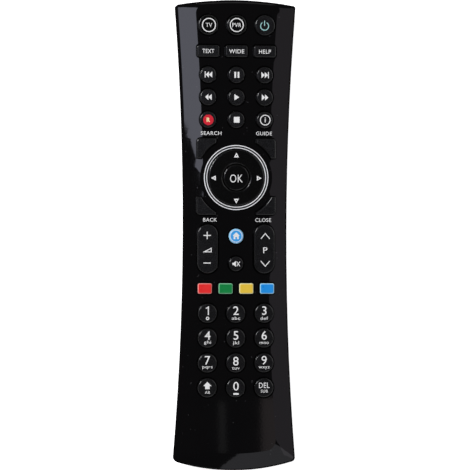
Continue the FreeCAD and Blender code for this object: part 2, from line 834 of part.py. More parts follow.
def hull_sections(body, name, wall, floor):
    steps = [
        (s.parting_height, s.seam_step, zero),
        (s.hull_high, s.hull_inset_high, s.hull_growth_high),
        (s.hull_middle, s.hull_inset_middle, s.hull_growth_middle),
        (s.hull_low, s.hull_inset_low, s.hull_growth_low),
        (zero, s.hull_inset_back, s.hull_growth_back)]
    made = []
    for number, (height, inset, grown) in enumerate(steps):
        if wall is not zero:
            # The cavity keeps the wall's thickness and stops at the floor.
            inset = inset + wall + (s.hull_wall_extra if number in (2, 3) else zero)
            height = floor if number == 4 else height
            if number == 3:
                height = height + s.hull_floor_margin
        made.append(section(body, f"{name}_{number}", height, inset, growth=grown))
    return made


bay_low_y = s.bay_end_y - s.bay_length
bay_outer = s.bay_half_width + s.bay_wall
bay_top = s.bay_ceiling + s.bay_wall
slot_half = s.door_half_width + s.door_gap
tongue_half = s.door_half_width + s.door_tongue
beyond = -half_length - s.side_wall

bottom = new_body("bottom_shell")
nodes.append(bottom)
loft(bottom, hull_sections(bottom, "hull", zero, zero))
loft(bottom, hull_sections(bottom, "cavity", s.side_wall, s.floor_wall), "PartDesign::SubtractiveLoft")
bay = Drawing(bottom, "bay", height=s.floor_wall / 2)
rectangle(bay, -bay_outer, bay_low_y - s.bay_wall, bay_outer, s.bay_end_y + s.bay_wall)
pad(bottom, bay, bay_top - s.floor_wall / 2)
bay_hollow = Drawing(bottom, "bay_hollow")
rectangle(bay_hollow, -s.bay_half_width, bay_low_y, s.bay_half_width, s.bay_end_y)
pocket(bottom, bay_hollow, s.bay_ceiling, upwards=True)
door_slot = Drawing(bottom, "door_slot")
rectangle(door_slot, -slot_half, beyond, slot_half, s.door_top_y + s.door_gap)
pocket(bottom, door_slot, s.floor_wall, upwards=True)
tongue_slot = Drawing(bottom, "tongue_slot", height=s.door_tongue_base - s.door_gap / 2)
rectangle(tongue_slot, -tongue_half - s.door_gap, beyond,
          tongue_half + s.door_gap, s.door_top_y + s.door_gap)
pocket(bottom, tongue_slot, s.floor_wall - s.door_tongue_base + s.door_gap / 2, upwards=True)
end_notch = Drawing(bottom, "end_notch")
rectangle(end_notch, -slot_half, beyond, slot_half, bay_low_y - s.bay_wall - s.door_gap)
pocket(bottom, end_notch, s.door_end_height + s.door_gap, upwards=True)
posts = Drawing(bottom, "posts", height=s.floor_wall / 2)
head_holes = Drawing(bottom, "head_holes")
shank_holes = Drawing(bottom, "shank_holes")
for x, y in case_screw_places:
    circle(posts, x, y, s.post_radius)
    circle(head_holes, x, y, s.screw_head_radius + s.shank_clearance)
    circle(shank_holes, x, y, s.screw_radius + s.shank_clearance)
pad(bottom, posts, s.parting_height - s.floor_wall / 2)
pocket(bottom, head_holes, s.head_recess, upwards=True)
pocket(bottom, shank_holes, s.parting_height, upwards=True)
tab_slots = Drawing(bottom, "tab_slots", height=s.bay_ceiling)
cell_x = s.cell_spacing / 2
tab_half = s.contact_tab_width / 2
tab_play = s.contact_thickness / 2
for x in (-cell_x, cell_x):
    rectangle(tab_slots, x - tab_half - tab_play, s.bay_end_y - s.contact_thickness - tab_play,
              x + tab_half + tab_play, s.bay_end_y + tab_play)
pocket(bottom, tab_slots, s.bay_wall, upwards=True)

# Battery door: the same hull, cut down to the slot, with a tongue along each side
door = new_body("battery_door")
nodes.append(door)
loft(door, hull_sections(door, "hull", zero, zero))
loft(door, hull_sections(door, "cavity", s.side_wall, s.door_thickness), "PartDesign::SubtractiveLoft")
trimming = Drawing(door, "trimming")
far_x = s.waist_half_width * 2
rectangle(trimming, -far_x, beyond - s.side_wall, far_x, half_length + s.side_wall)
rectangle(trimming, -s.door_half_width, beyond, s.door_half_width, s.door_top_y)
pocket(door, trimming, s.case_height, upwards=True)
top_trim = Drawing(door, "top_trim", height=s.door_end_height)
rectangle(top_trim, -far_x, beyond, far_x, s.door_top_y + s.side_wall)
pocket(door, top_trim, s.case_height, upwards=True)
inner_trim = Drawing(door, "inner_trim", height=s.door_thickness)
rectangle(inner_trim, -far_x, bay_low_y - s.bay_wall - s.door_gap, far_x, s.door_top_y + s.side_wall)
pocket(door, inner_trim, s.case_height, upwards=True)
tongues = Drawing(door, "tongues", height=s.door_tongue_base)
for side in (-1, 1):
    near = s.door_half_width * side
    far = tongue_half * side
    low, high = (far, near) if side < 0 else (near, far)
    rectangle(tongues, low, bay_low_y, high, s.door_top_y)
pad(door, tongues, s.door_thickness - s.door_tongue_base)
grip = Drawing(door, "grip")
for number in range(grip_count):
    y = s.grip_y - s.grip_pitch * number
    rectangle(grip, -s.grip_width / 2, y - s.grip_groove / 2, s.grip_width / 2, y + s.grip_groove / 2)
pocket(door, grip, s.grip_depth, upwards=True)

# Infrared window: a lens in the end wall and a flange behind it
window = new_body("ir_window")
nodes.append(window)
end_y = half_length - s.top_end_bow


def end_band(drawing, half_width, outer, inner):
    # A band that follows the end of the case, as wide as asked.
    outer_y = end_y + root(outer * outer - half_width * half_width)
    inner_y = end_y + root(inner * inner - half_width * half_width)
    chain(drawing, [
        (half_width, outer_y, outer, True), (-half_width, outer_y),
        (-half_width, inner_y, inner, False), (half_width, inner_y)])


inner_wall = s.top_end_bow - s.side_wall
lens = Drawing(window, "lens", height=s.window_base)
end_band(lens, s.window_width / 2, s.top_end_bow + s.window_proud, inner_wall)
pad(window, lens, s.window_height)
flange = Drawing(window, "flange", height=s.parting_height + s.window_play)
end_band(flange, s.window_width / 2 + s.window_flange, inner_wall - s.window_play,
         inner_wall - s.window_play - s.window_flange)
pad(window, flange, window_top + s.window_flange - s.parting_height - s.window_play)
bridge = Drawing(window, "bridge", height=s.window_base)
end_band(bridge, s.window_width / 2, inner_wall, inner_wall - s.window_flange)
pad(window, bridge, s.window_height)

# Trim ring: two bright lips with a groove between them, seated in the face
trim = new_body("nav_trim_ring", y=s.pad_y)
nodes.append(trim)
profile = Drawing(trim, "profile", plane="XZ_Plane")
fit = s.screw_play
trim_top = s.case_height + s.trim_proud
trim_outer = s.trim_outer_radius - fit
trim_seat_outer = s.trim_seat_radius - fit
groove_floor = s.case_height - s.trim_lip_height / 2
chain(profile, [
    (s.trim_inner_radius, ceiling), (trim_seat_outer, ceiling), (trim_seat_outer, trim_seat + fit),
    (trim_outer, trim_seat + fit), (trim_outer, trim_top - s.trim_lip_bevel),
    (trim_outer - s.trim_lip_bevel, trim_top), (trim_outer - s.trim_lip, trim_top),
    (trim_outer - s.trim_lip, groove_floor), (s.trim_inner_radius + s.trim_lip, groove_floor),
    (s.trim_inner_radius + s.trim_lip, trim_top), (s.trim_inner_radius + s.trim_lip_bevel, trim_top),
    (s.trim_inner_radius, trim_top - s.trim_lip_bevel)])
turn(trim, profile)


# Key caps

def make_key(key):
    body = new_body(key.name, key.x, key.y)
    if key.shape == "round":
        foot = s.foot_radius
        profile = Drawing(body, "profile", plane="XZ_Plane")
        chain(profile, [
            (zero, dome_top), (foot, dome_top), (foot, flange_bottom),
            (key.radius + s.flange_width, flange_bottom), (key.radius + s.flange_width, flange_top),
            (key.radius, flange_top), (key.radius, key_top - s.key_edge, s.key_edge, True),
            (key.radius - s.key_edge, key_top), (zero, key_top)])
        turn(body, profile)
        return body
    tilting = key.shape == "rocker"
    low, high = (tilt_flange_bottom, tilt_flange_top) if tilting else (flange_bottom, flange_top)
    flange = Drawing(body, "flange", height=low)
    draw_key(flange, key, s.flange_width, False)
    pad(body, flange, s.flange_thickness)
    cap = Drawing(body, "cap", height=high)
    draw_key(cap, key, zero, False)
    pad(body, cap, key_top - high)
    top_face = [flat_face(body.Tip.Shape, key_top)]
    if hasattr(key, "bevel"):
        dress(body, "PartDesign::Chamfer", top_face, key.bevel)
    else:
        dress(body, "PartDesign::Fillet", top_face, s.key_edge)
    feet = Drawing(body, "feet", height=dome_top)
    for x, y in foot_places(key):
        circle(feet, x, y, s.small_foot_radius if tilting else s.foot_radius)
    pad(body, feet, low - dome_top)
    if tilting:
        rib = Drawing(body, "rib", height=sheet_top + s.screw_play)
        rectangle(rib, -s.pivot_rib_reach, -s.pivot_rib_radius, s.pivot_rib_reach, s.pivot_rib_radius)
        pad(body, rib, low - sheet_top - s.screw_play)
    return body


def foot_places(key):
    # Where the key presses on the mat, measured from the key's own centre.
    if key.shape == "rocker":
        return [(zero, -s.rocker_foot_y), (zero, s.rocker_foot_y)]
    if key.shape == "quarter":
        far_x = (s.quarter_outer_x + s.quarter_end_x) / 2 + s.quarter_foot_shift
        far_y = (key.outer_y + s.quarter_end_y) / 2 + s.quarter_foot_shift
        return [(far_x * key.sign_x, far_y * key.sign_y)]
    return [(zero, zero)]


for key in keys:
    nodes.append(make_key(key))

# OK key, and the direction pad that tilts round it
ok_key = new_body("key_ok", y=s.pad_y)
nodes.append(ok_key)
profile = Drawing(ok_key, "profile", plane="XZ_Plane")
ok_flange = s.ok_key_radius + s.ok_flange_width
ok_flange_low = dome_top
ok_flange_high = dome_top + s.ok_flange_thickness
chain(profile, [
    (zero, ok_flange_low), (ok_flange, ok_flange_low), (ok_flange, ok_flange_high),
    (s.ok_key_radius, ok_flange_high), (s.ok_key_radius, key_top - s.key_edge, s.key_edge, True),
    (s.ok_key_radius - s.key_edge, key_top), (zero, key_top)])
turn(ok_key, profile)

nav = new_body("nav_ring", y=s.pad_y)
nodes.append(nav)
profile = Drawing(nav, "profile", plane="XZ_Plane")
nav_inner = s.ok_key_radius + s.tilt_clearance
nav_flange = s.trim_inner_radius + s.nav_flange_lap
rocker_low = sheet_top + s.nav_rocker_lift
rocker_high = rocker_low + s.nav_rocker_thickness
nav_floor = rocker_high + s.pivot_rib_radius + s.screw_play
chain(profile, [
    (nav_inner, nav_floor + s.nav_relief), (ok_flange + s.tilt_clearance, nav_floor + s.nav_relief),
    (ok_flange + s.tilt_clearance, nav_floor), (s.nav_rocker_outer + s.tilt_clearance, nav_floor),
    (s.nav_rocker_outer + s.tilt_clearance, tilt_flange_bottom), (nav_flange, tilt_flange_bottom),
    (nav_flange, tilt_flange_top), (s.nav_outer_radius, tilt_flange_top),
    (s.nav_outer_radius, key_top - s.key_edge, s.key_edge, True),
    (s.nav_outer_radius - s.key_edge, key_top), (nav_inner + s.key_edge, key_top, s.key_edge, True),
    (nav_inner, key_top - s.key_edge)])
turn(nav, profile)
nav_feet = Drawing(nav, "feet", height=dome_top)
nav_foot_places = both_sides(s.nav_foot_place, zero) + [(zero, -s.nav_foot_place), (zero, s.nav_foot_place)]
for x, y in nav_foot_places:
    circle(nav_feet, x, y, s.small_foot_radius)
pad(nav, nav_feet, tilt_flange_bottom - dome_top + s.screw_play)

# Rocking ring: ribs below it along X, ribs on top along Y
rocker = new_body("nav_rocker_ring", y=s.pad_y)
nodes.append(rocker)
ring = Drawing(rocker, "ring", height=rocker_low)
circle(ring, zero, zero, s.nav_rocker_outer)
circle(ring, zero, zero, s.nav_rocker_inner)
pad(rocker, ring, s.nav_rocker_thickness)
rib_inner = s.nav_rocker_inner + s.screw_play * 2
rib_outer = s.nav_rocker_outer - s.pivot_rib_setback
for name, plane, height in (("low_ribs", "YZ_Plane", rocker_low), ("high_ribs", "XZ_Plane", rocker_high)):
    for side in (-1, 1):
        start = rib_inner if side > 0 else -rib_outer
        rib = Drawing(rocker, f"{name}_{side + 1}", plane=plane, height=start)
        circle(rib, zero, height, s.pivot_rib_radius)
        pad(rocker, rib, rib_outer - rib_inner)


# Rubber mat: a sheet with a hollow dome under each foot

dome_places = [(s.dome_foot_radius, key.x + x, key.y + y)
               for key in keys if key.shape != "rocker" for x, y in foot_places(key)]
dome_places.append((s.dome_foot_radius, zero, s.pad_y))
dome_places += [(s.dome_small_radius, key.x + x, key.y + y)
                for key in keys if key.shape == "rocker" for x, y in foot_places(key)]
dome_places += [(s.dome_small_radius, x, s.pad_y + y) for x, y in nav_foot_places]

mat = new_body("keypad_mat")
nodes.append(mat)
sheet_outline = Drawing(mat, "sheet", height=board_top)
rectangle(sheet_outline, -s.mat_half_width, s.mat_bottom_y, s.mat_half_width, s.mat_top_y)
for x, y in front_screws:
    circle(sheet_outline, x, y, s.boss_radius + s.key_clearance)
pad(mat, sheet_outline, s.mat_sheet)


def cones(name, height, rise, shrink, slope_width):
    # Tapered rounds at every dome, as one tool.
    tool = new_body(name)
    drawing = Drawing(tool, "rounds", height=height)
    for radius, x, y in dome_places:
        circle(drawing, x, y, radius - shrink)
    slope = Size(math.degrees(math.atan2(slope_width.value, rise.value)),
                 f"atan2({slope_width.text}; {rise.text})")
    pad(tool, drawing, rise, taper=-slope)
    return tool


domes = cones("dome_tool", sheet_top, s.dome_rise, zero, s.dome_slope_width)
cavity_rise = s.mat_sheet + s.dome_rise - s.dome_skin
cavities = cones("cavity_tool", board_top, cavity_rise, s.dome_skin, s.dome_slope_width)
# A contact pill hangs from the roof of each dome, a gap above the board
pills = Drawing(cavities, "pills", height=board_top + s.contact_pill_gap)
for radius, x, y in dome_places:
    circle(pills, x, y, s.contact_pill_radius)
pocket(cavities, pills, cavity_rise, upwards=True)
for tool, kind in ((domes, "Fuse"), (cavities, "Cut")):
    joined = mat.newObject("PartDesign::Boolean", f"mat_{kind.lower()}")
    joined.setObjects([tool])
    joined.Type = kind
    doc.recompute()

# Circuit board and what is soldered to it
board = new_body("circuit_board")
nodes.append(board)
board_outline = Drawing(board, "board", height=s.board_bottom)
rectangle(board_outline, -s.board_half_width, s.board_bottom_y, s.board_half_width, s.board_top_y)
for x, y in front_screws:
    circle(board_outline, x, y, s.boss_radius + s.key_clearance)
for x, y in board_screw_places:
    circle(board_outline, x, y, s.board_screw_radius + s.shank_clearance)
pad(board, board_outline, s.board_thickness)

lamps = []
for number, side in enumerate((-1, 1)):
    lamp = new_body(f"lamp_{number}", x=s.lamp_spacing / 2 * side, y=s.board_top_y + s.lamp_gap,
                    z=board_top + s.lamp_radius + s.lamp_clearance)
    profile = Drawing(lamp, "profile")
    tip = s.lamp_length - s.lamp_radius / 2
    chain(profile, [
        (zero, zero), (s.lamp_radius, zero), (s.lamp_radius, tip), (s.lamp_radius / 2, s.lamp_length),
        (zero, s.lamp_length)])
    turn(lamp, profile)
    lamps.append(lamp)
nodes.append(group("ir_leds", lamps))

chip = new_body("controller_chip", y=s.chip_y)
nodes.append(chip)
lead_base = s.board_bottom - s.chip_lead_thickness
package = Drawing(chip, "package", height=lead_base - s.chip_height)
rectangle(package, -s.chip_width / 2, -s.chip_length / 2, s.chip_width / 2, s.chip_length / 2)
pad(chip, package, s.chip_height)
lead = Drawing(chip, "lead", height=lead_base - s.chip_lead_thickness)
first_lead = -s.chip_lead_pitch * (lead_count - 1) / 2
rectangle(lead, -s.chip_lead_span / 2, first_lead - s.chip_lead_width / 2,
          s.chip_lead_span / 2, first_lead + s.chip_lead_width / 2)
lead_pad = pad(chip, lead, s.chip_lead_thickness * 2)
leads = chip.newObject("PartDesign::LinearPattern", "leads")
leads.Originals = [lead_pad]
leads.Direction = (lead.sketch, ["V_Axis"])
bind(leads, "Length", s.chip_lead_pitch * (lead_count - 1))
leads.Occurrences = lead_count
chip.Tip = leads
doc.recompute()

resonator = new_body("resonator", x=s.resonator_x, y=s.chip_y)
nodes.append(resonator)
can = Drawing(resonator, "can", height=s.board_bottom - s.resonator_height)
can_half = s.resonator_length / 2 - s.resonator_width / 2
can_radius = s.resonator_width / 2
chain(can, [
    (can_radius, -can_half), (can_radius, can_half, can_radius, True),
    (-can_radius, can_half), (-can_radius, -can_half, can_radius, True)])
pad(resonator, can, s.resonator_height)

capacitor = new_body("capacitor", x=s.capacitor_x, y=s.chip_y, z=s.board_bottom - s.capacitor_radius)
nodes.append(capacitor)
profile = Drawing(capacitor, "profile")
chain(profile, [
    (zero, zero), (s.capacitor_radius, zero),
    (s.capacitor_radius, s.capacitor_neck_place - s.capacitor_neck_half),
    (s.capacitor_neck_radius, s.capacitor_neck_place),
    (s.capacitor_radius, s.capacitor_neck_place + s.capacitor_neck_half),
    (s.capacitor_radius, s.capacitor_length), (zero, s.capacitor_length)])
turn(capacitor, profile)

# Cells, one each way round
plate_face = s.bay_end_y - s.contact_thickness
far_plate_face = bay_low_y + s.contact_thickness
for name, side in (("battery_left", 1), ("battery_right", -1)):
    tip = plate_face - s.contact_bump if side > 0 else far_plate_face + s.contact_bump
    cell = new_body(name, x=-cell_x * side, y=tip, z=s.cell_height)
    nodes.append(cell)
    profile = Drawing(cell, "profile")
    shoulder = s.cell_nub
    base = s.cell_nub + s.cell_length
    corners = [
        (zero, zero), (s.cell_nub_radius, zero), (s.cell_nub_radius, shoulder),
        (s.cell_radius - s.cell_nub / 2, shoulder), (s.cell_radius, shoulder + s.cell_nub / 2),
        (s.cell_radius, base - s.cell_nub / 2), (s.cell_radius - s.cell_nub / 2, base), (zero, base)]
    placed = [(x, -y if side > 0 else y) if y is not zero else (x, y) for x, y in corners]
    chain(profile, placed)
    turn(cell, profile)


# Battery contacts: plates with a bump or a spring, two of them with a tab up to the board

def contact_plate(name, places, y, bumps):
    body = new_body(name)
    plate = Drawing(body, "plate", height=s.cell_height - s.contact_height / 2)
    low_x = places[0] - s.contact_width / 2
    high_x = places[-1] + s.contact_width / 2
    rectangle(plate, low_x, y, high_x, y + s.contact_thickness)
    pad(body, plate, s.contact_height)
    for x, direction in bumps:
        # The bump stands on the plate and points at the cell.
        far_face = -(y + s.contact_thickness + s.contact_bump) if direction > 0 else -y
        bump = Drawing(body, "bump", plane="XZ_Plane", height=far_face)
        circle(bump, x, s.cell_height, s.contact_bump_radius)
        pad(body, bump, s.contact_bump)
    return body


def contact_tab(body, x, y):
    tab = Drawing(body, "tab", height=s.cell_height)
    rectangle(tab, x - tab_half, y, x + tab_half, y + s.contact_thickness)
    pad(body, tab, s.board_bottom - s.cell_height)


def contact_spring(name, x, face, direction):
    # A coil from the plate's face to the flat end of the cell.
    room = s.bay_length - s.contact_thickness * 2 - s.contact_bump - s.cell_nub - s.cell_length
    rise = room.value - 2 * s.spring_wire.value - 2 * s.screw_play.value
    coil = Part.makeHelix(s.spring_pitch.value, rise, s.spring_radius.value)
    ring = Part.Wire([Part.makeCircle(s.spring_wire.value, V(s.spring_radius.value, 0, 0), V(0, 1, 0))])
    made = doc.addObject("Part::Feature", name)
    made.Shape = Part.Wire(coil.Edges).makePipeShell([ring], True, True)
    start = face.value + direction * (s.spring_wire.value + s.screw_play.value)
    turned = FreeCAD.Rotation(V(1, 0, 0), -90 * direction)
    made.Placement = FreeCAD.Placement(V(x.value, start, s.cell_height.value), turned)
    gap = s.spring_pitch.value - 2 * s.spring_wire.value
    print(f"{name}: {rise / s.spring_pitch.value:.1f} turns, {gap:.2f} mm between turns")
    return made


positive = contact_plate("contact_positive", [-cell_x], plate_face, [(-cell_x, -1)])
contact_tab(positive, -cell_x, plate_face)
nodes.append(positive)
negative_plate = contact_plate("negative_plate", [cell_x], plate_face, [])
contact_tab(negative_plate, cell_x, plate_face)
negative_spring = contact_spring("negative_spring", cell_x, plate_face, -1)
nodes.append(group("contact_negative", [negative_plate, negative_spring]))
bridge_plate = contact_plate("bridge_plate", [-cell_x, cell_x], bay_low_y, [(cell_x, 1)])
bridge_spring = contact_spring("bridge_spring", -cell_x, far_plate_face, 1)
nodes.append(group("contact_bridge", [bridge_plate, bridge_spring]))


# Screws

def screws(label, places, radius, head_radius, head_base, head_height, tip):
    made = []
    for number, (x, y) in enumerate(places, start=1):
        head = cylinder(f"{label}_head_{number}", head_radius, head_height, x, y, head_base)
        shank = cylinder(f"{label}_shank_{number}", radius, tip - head_base, x, y, head_base)
        made.append(fuse(f"{label}_{number}", [head, shank]))
    return group(label, made)


nodes.append(screws("case_screws", case_screw_places, s.screw_radius, s.screw_head_radius,
                    s.head_recess - s.screw_head_height - s.screw_play, s.screw_head_height,
                    case_screw_top))
nodes.append(screws("board_screws", board_screw_places, s.board_screw_radius, s.board_screw_head,
                    s.board_bottom - s.board_screw_head_height - s.screw_play, s.board_screw_head_height,
                    board_screw_top - s.screw_play))

# Checks, then one file for each node
doc.recompute()
for thing in doc.Objects:
    if any(word in thing.State for word in ("Invalid", "Error")):
        raise ValueError(f"{thing.Name} failed: {thing.getStatusString()}")
for node in nodes:
    if node.Shape.isNull() or not node.Shape.isValid() or not node.Shape.Solids:
        raise ValueError(f"{node.Label} has no valid solid")
os.makedirs("parts", exist_ok=True)
for node in nodes:
    node.Shape.exportStep(f"parts/{node.Label}.step")
print(len(nodes), "nodes")
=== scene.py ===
import json
import math

import bmesh
import bpy
from mathutils import Matrix, Vector

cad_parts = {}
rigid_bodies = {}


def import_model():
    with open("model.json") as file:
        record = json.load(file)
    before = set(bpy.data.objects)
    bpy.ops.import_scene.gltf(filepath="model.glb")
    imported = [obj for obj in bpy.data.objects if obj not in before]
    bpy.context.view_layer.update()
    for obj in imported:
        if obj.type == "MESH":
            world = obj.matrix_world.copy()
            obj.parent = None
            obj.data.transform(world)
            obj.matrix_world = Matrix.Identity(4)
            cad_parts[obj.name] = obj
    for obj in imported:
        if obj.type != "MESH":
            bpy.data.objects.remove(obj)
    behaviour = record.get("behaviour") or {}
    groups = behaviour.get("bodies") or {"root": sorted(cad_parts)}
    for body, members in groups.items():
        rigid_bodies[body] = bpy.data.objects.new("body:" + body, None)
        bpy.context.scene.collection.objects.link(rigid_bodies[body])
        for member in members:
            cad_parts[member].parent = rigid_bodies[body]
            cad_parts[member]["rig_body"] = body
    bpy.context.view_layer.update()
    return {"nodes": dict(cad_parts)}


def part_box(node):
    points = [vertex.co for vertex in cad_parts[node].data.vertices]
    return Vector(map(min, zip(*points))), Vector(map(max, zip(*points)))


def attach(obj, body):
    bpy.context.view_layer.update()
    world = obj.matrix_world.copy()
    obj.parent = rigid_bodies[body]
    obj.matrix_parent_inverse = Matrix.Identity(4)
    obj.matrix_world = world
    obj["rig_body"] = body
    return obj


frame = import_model()
nodes = frame["nodes"]
mm = 0.001

scene = bpy.context.scene
scene.view_settings.view_transform = "Standard"
print("frame loaded:", len(nodes), "nodes")


# Shader maths: a socket that adds, subtracts and multiplies by making nodes
class Value:
    def __init__(self, shader, socket):
        self.shader = shader
        self.socket = socket

    def combine(self, operation, first, second):
        return self.shader.node("ShaderNodeMath", {"operation": operation}, {0: first, 1: second})

    def __add__(self, other):
        return self.combine("ADD", self, other)

    def __sub__(self, other):
        return self.combine("SUBTRACT", self, other)

    def __rsub__(self, other):
        return self.combine("SUBTRACT", other, self)

    def __mul__(self, other):
        return self.combine("MULTIPLY", self, other)

    __radd__ = __add__
    __rmul__ = __mul__


class Shader:
    def __init__(self, name, **fixed):
        self.material = bpy.data.materials.new(name)
        self.material.use_nodes = True
        self.tree = self.material.node_tree
        self.surface = self.tree.nodes["Principled BSDF"]
        for socket, value in fixed.items():
            self.surface.inputs[socket.replace("_", " ")].default_value = value
        self.place = self.node("ShaderNodeTexCoord", output="Object")

    def node(self, kind, settings=None, sockets=None, output=0):
        made = self.tree.nodes.new(kind)
        for name, value in (settings or {}).items():
            setattr(made, name, value)
        for socket, value in (sockets or {}).items():
            self.join(value, made.inputs[socket])
        return Value(self, made.outputs[output])

    def join(self, value, socket):
        if isinstance(value, Value):
            self.tree.links.new(value.socket, socket)
        else:
            socket.default_value = value

    def feed(self, **links):
        for name, value in links.items():
            self.join(value, self.surface.inputs[name.replace("_", " ")])

    def noise(self, scale, detail):
        return self.node("ShaderNodeTexNoise", None,
                         {"Vector": self.place, "Scale": scale, "Detail": detail})

    def step(self, value, low, high):
        # 0 below low, 1 above high, smooth between them
        return self.node("ShaderNodeMapRange", {"interpolation_type": "SMOOTHSTEP"},
                         {"Value": value, "From Min": low, "From Max": high})

    def tint(self, mask, first, second):
        return self.node("ShaderNodeMix", {"data_type": "RGBA"},
                         {0: mask, 6: first, 7: second}, output=2)

    def bump(self, height, depth):
        return self.node("ShaderNodeBump", None, {"Height": height, "Distance": depth, "Strength": 1.0})

    def axis(self, name):
        return self.node("ShaderNodeSeparateXYZ", None, {0: self.place}, output=name)

    def blend(self, factor, under, over):
        mixed = self.node("ShaderNodeMixShader", None, {0: factor, 1: under, 2: over})
        self.join(mixed, self.tree.nodes["Material Output"].inputs["Surface"])


def linear(red, green, blue):
    # Screen tones, 0 to 255, as shader colours
    tones = [value / 255 for value in (red, green, blue)]
    return [t / 12.92 if t <= 0.04045 else ((t + 0.055) / 1.055) ** 2.4 for t in tones] + [1]


# Widths of the soft borders: a fleck's in noise value, the others in millimetres
softBorder = {"fleck": 0.04, "polish": 0.015, "wall": 0.1, "end": 0.3}
fleckRoughness = 0.2
dullWall = {"colour": (9, 8, 9), "shade": (12, 11, 12), "roughness": 0.8}


def mouldedPlastic(name, look):
    # The textured top of a cap is duller than its polished edge, which lies lower than polishBelow;
    # a case's wall mirrors nothing, lower than dullBelow and a little higher along the bowed top end
    shader = Shader(name, Specular_IOR_Level=look["gloss"])
    cloud = shader.noise(look["cloudScale"], 4.0)
    grain = shader.noise(look["grainScale"], 2.0)
    fleck = shader.step(shader.noise(look["fleckScale"], 1.0),
                        look["fleckFrom"], look["fleckFrom"] + softBorder["fleck"])
    colour = shader.tint(cloud, linear(*look["colour"]), linear(*look["shade"]))
    roughness = ((cloud - 0.5) * look["spread"] + look["roughness"]
                 + fleck * look["fleckStrength"] * fleckRoughness)
    if "polishBelow" in look:
        low = look["polishBelow"] * mm
        textured = shader.step(shader.axis("Z"), low, low + softBorder["polish"] * mm)
        roughness = roughness * textured + look["polish"] * (1 - textured)
    shader.feed(
        Base_Color=shader.tint(fleck * look["fleckStrength"], colour, linear(*look["fleck"])),
        Roughness=roughness,
        Normal=shader.bump(grain, look["grainDepth"] * mm))
    if "dullBelow" in look:
        low = look["dullBelow"] * mm
        across = shader.axis("X")
        atTopEnd = shader.step(shader.axis("Y") + across * across * (0.5 / look["endBow"] / mm),
                               look["endFrom"] * mm, (look["endFrom"] + softBorder["end"]) * mm)
        dull = shader.node("ShaderNodeBsdfPrincipled", None, {
            "Base Color": shader.tint(cloud, linear(*dullWall["colour"]), linear(*dullWall["shade"])),
            "Roughness": dullWall["roughness"], "Specular IOR Level": 0.0})
        lit = Value(shader, shader.surface.outputs[0])
        height = shader.axis("Z") - atTopEnd * look["endRise"] * mm
        shader.blend(shader.step(height, low, low + softBorder["wall"] * mm), dull, lit)
    return shader.material


plasticLooks = {
    "gloss_black": {
        "colour": (6, 6, 7), "shade": (9, 8, 9), "roughness": 0.035, "spread": 0.03, "gloss": 0.5,
        "dullBelow": 20.7, "endFrom": 108.8, "endBow": 158.0, "endRise": 1.2,
        "cloudScale": 60.0, "grainScale": 900.0, "grainDepth": 0.0012,
        "fleck": (70, 70, 72), "fleckScale": 700.0, "fleckFrom": 0.76, "fleckStrength": 0.35},
    "satin_black": {
        "colour": (17, 17, 18), "shade": (23, 23, 24), "roughness": 0.42, "spread": 0.12, "gloss": 0.45,
        "cloudScale": 90.0, "grainScale": 2600.0, "grainDepth": 0.03,
        "fleck": (60, 60, 60), "fleckScale": 1500.0, "fleckFrom": 0.72, "fleckStrength": 0.3},
    "key_black": {
        "colour": (8, 8, 9), "shade": (12, 12, 13), "roughness": 0.27, "spread": 0.1, "gloss": 0.38,
        "polishBelow": 22.975, "polish": 0.06,
        "cloudScale": 260.0, "grainScale": 4200.0, "grainDepth": 0.012,
        "fleck": (80, 80, 80), "fleckScale": 2400.0, "fleckFrom": 0.74, "fleckStrength": 0.3},
    "pad_black": {
        "colour": (5, 5, 5), "shade": (8, 8, 8), "roughness": 0.14, "spread": 0.04, "gloss": 0.4,
        "polishBelow": 22.975, "polish": 0.06,
        "cloudScale": 200.0, "grainScale": 4200.0, "grainDepth": 0.008,
        "fleck": (70, 70, 70), "fleckScale": 2400.0, "fleckFrom": 0.75, "fleckStrength": 0.3},
    "grey_plastic": {
        "colour": (60, 60, 62), "shade": (74, 74, 76), "roughness": 0.5, "spread": 0.1, "gloss": 0.4,
        "cloudScale": 120.0, "grainScale": 2600.0, "grainDepth": 0.02,
        "fleck": (110, 110, 110), "fleckScale": 1500.0, "fleckFrom": 0.72, "fleckStrength": 0.3},
    "mat_rubber": {
        "colour": (46, 46, 50), "shade": (58, 58, 62), "roughness": 0.75, "spread": 0.1, "gloss": 0.3,
        "cloudScale": 80.0, "grainScale": 1800.0, "grainDepth": 0.02,
        "fleck": (120, 120, 120), "fleckScale": 1200.0, "fleckFrom": 0.7, "fleckStrength": 0.4},
    "chip_black": {
        "colour": (22, 22, 23), "shade": (34, 34, 35), "roughness": 0.6, "spread": 0.1, "gloss": 0.4,
        "cloudScale": 300.0, "grainScale": 5000.0, "grainDepth": 0.02,
        "fleck": (90, 90, 90), "fleckScale": 2400.0, "fleckFrom": 0.7, "fleckStrength": 0.3},
}


# A coloured cap's bevel turns to its flat top between two heights, in millimetres
capFinish = {"bevelLow": 22.9, "bevelHigh": 22.99, "skirtBorder": 0.08, "skirtTone": (10, 9, 10),
             "roughness": 0.24, "spread": 0.1, "gloss": 0.5,
             "cloudScale": 240.0, "grainScale": 4200.0, "grainDepth": 0.008}


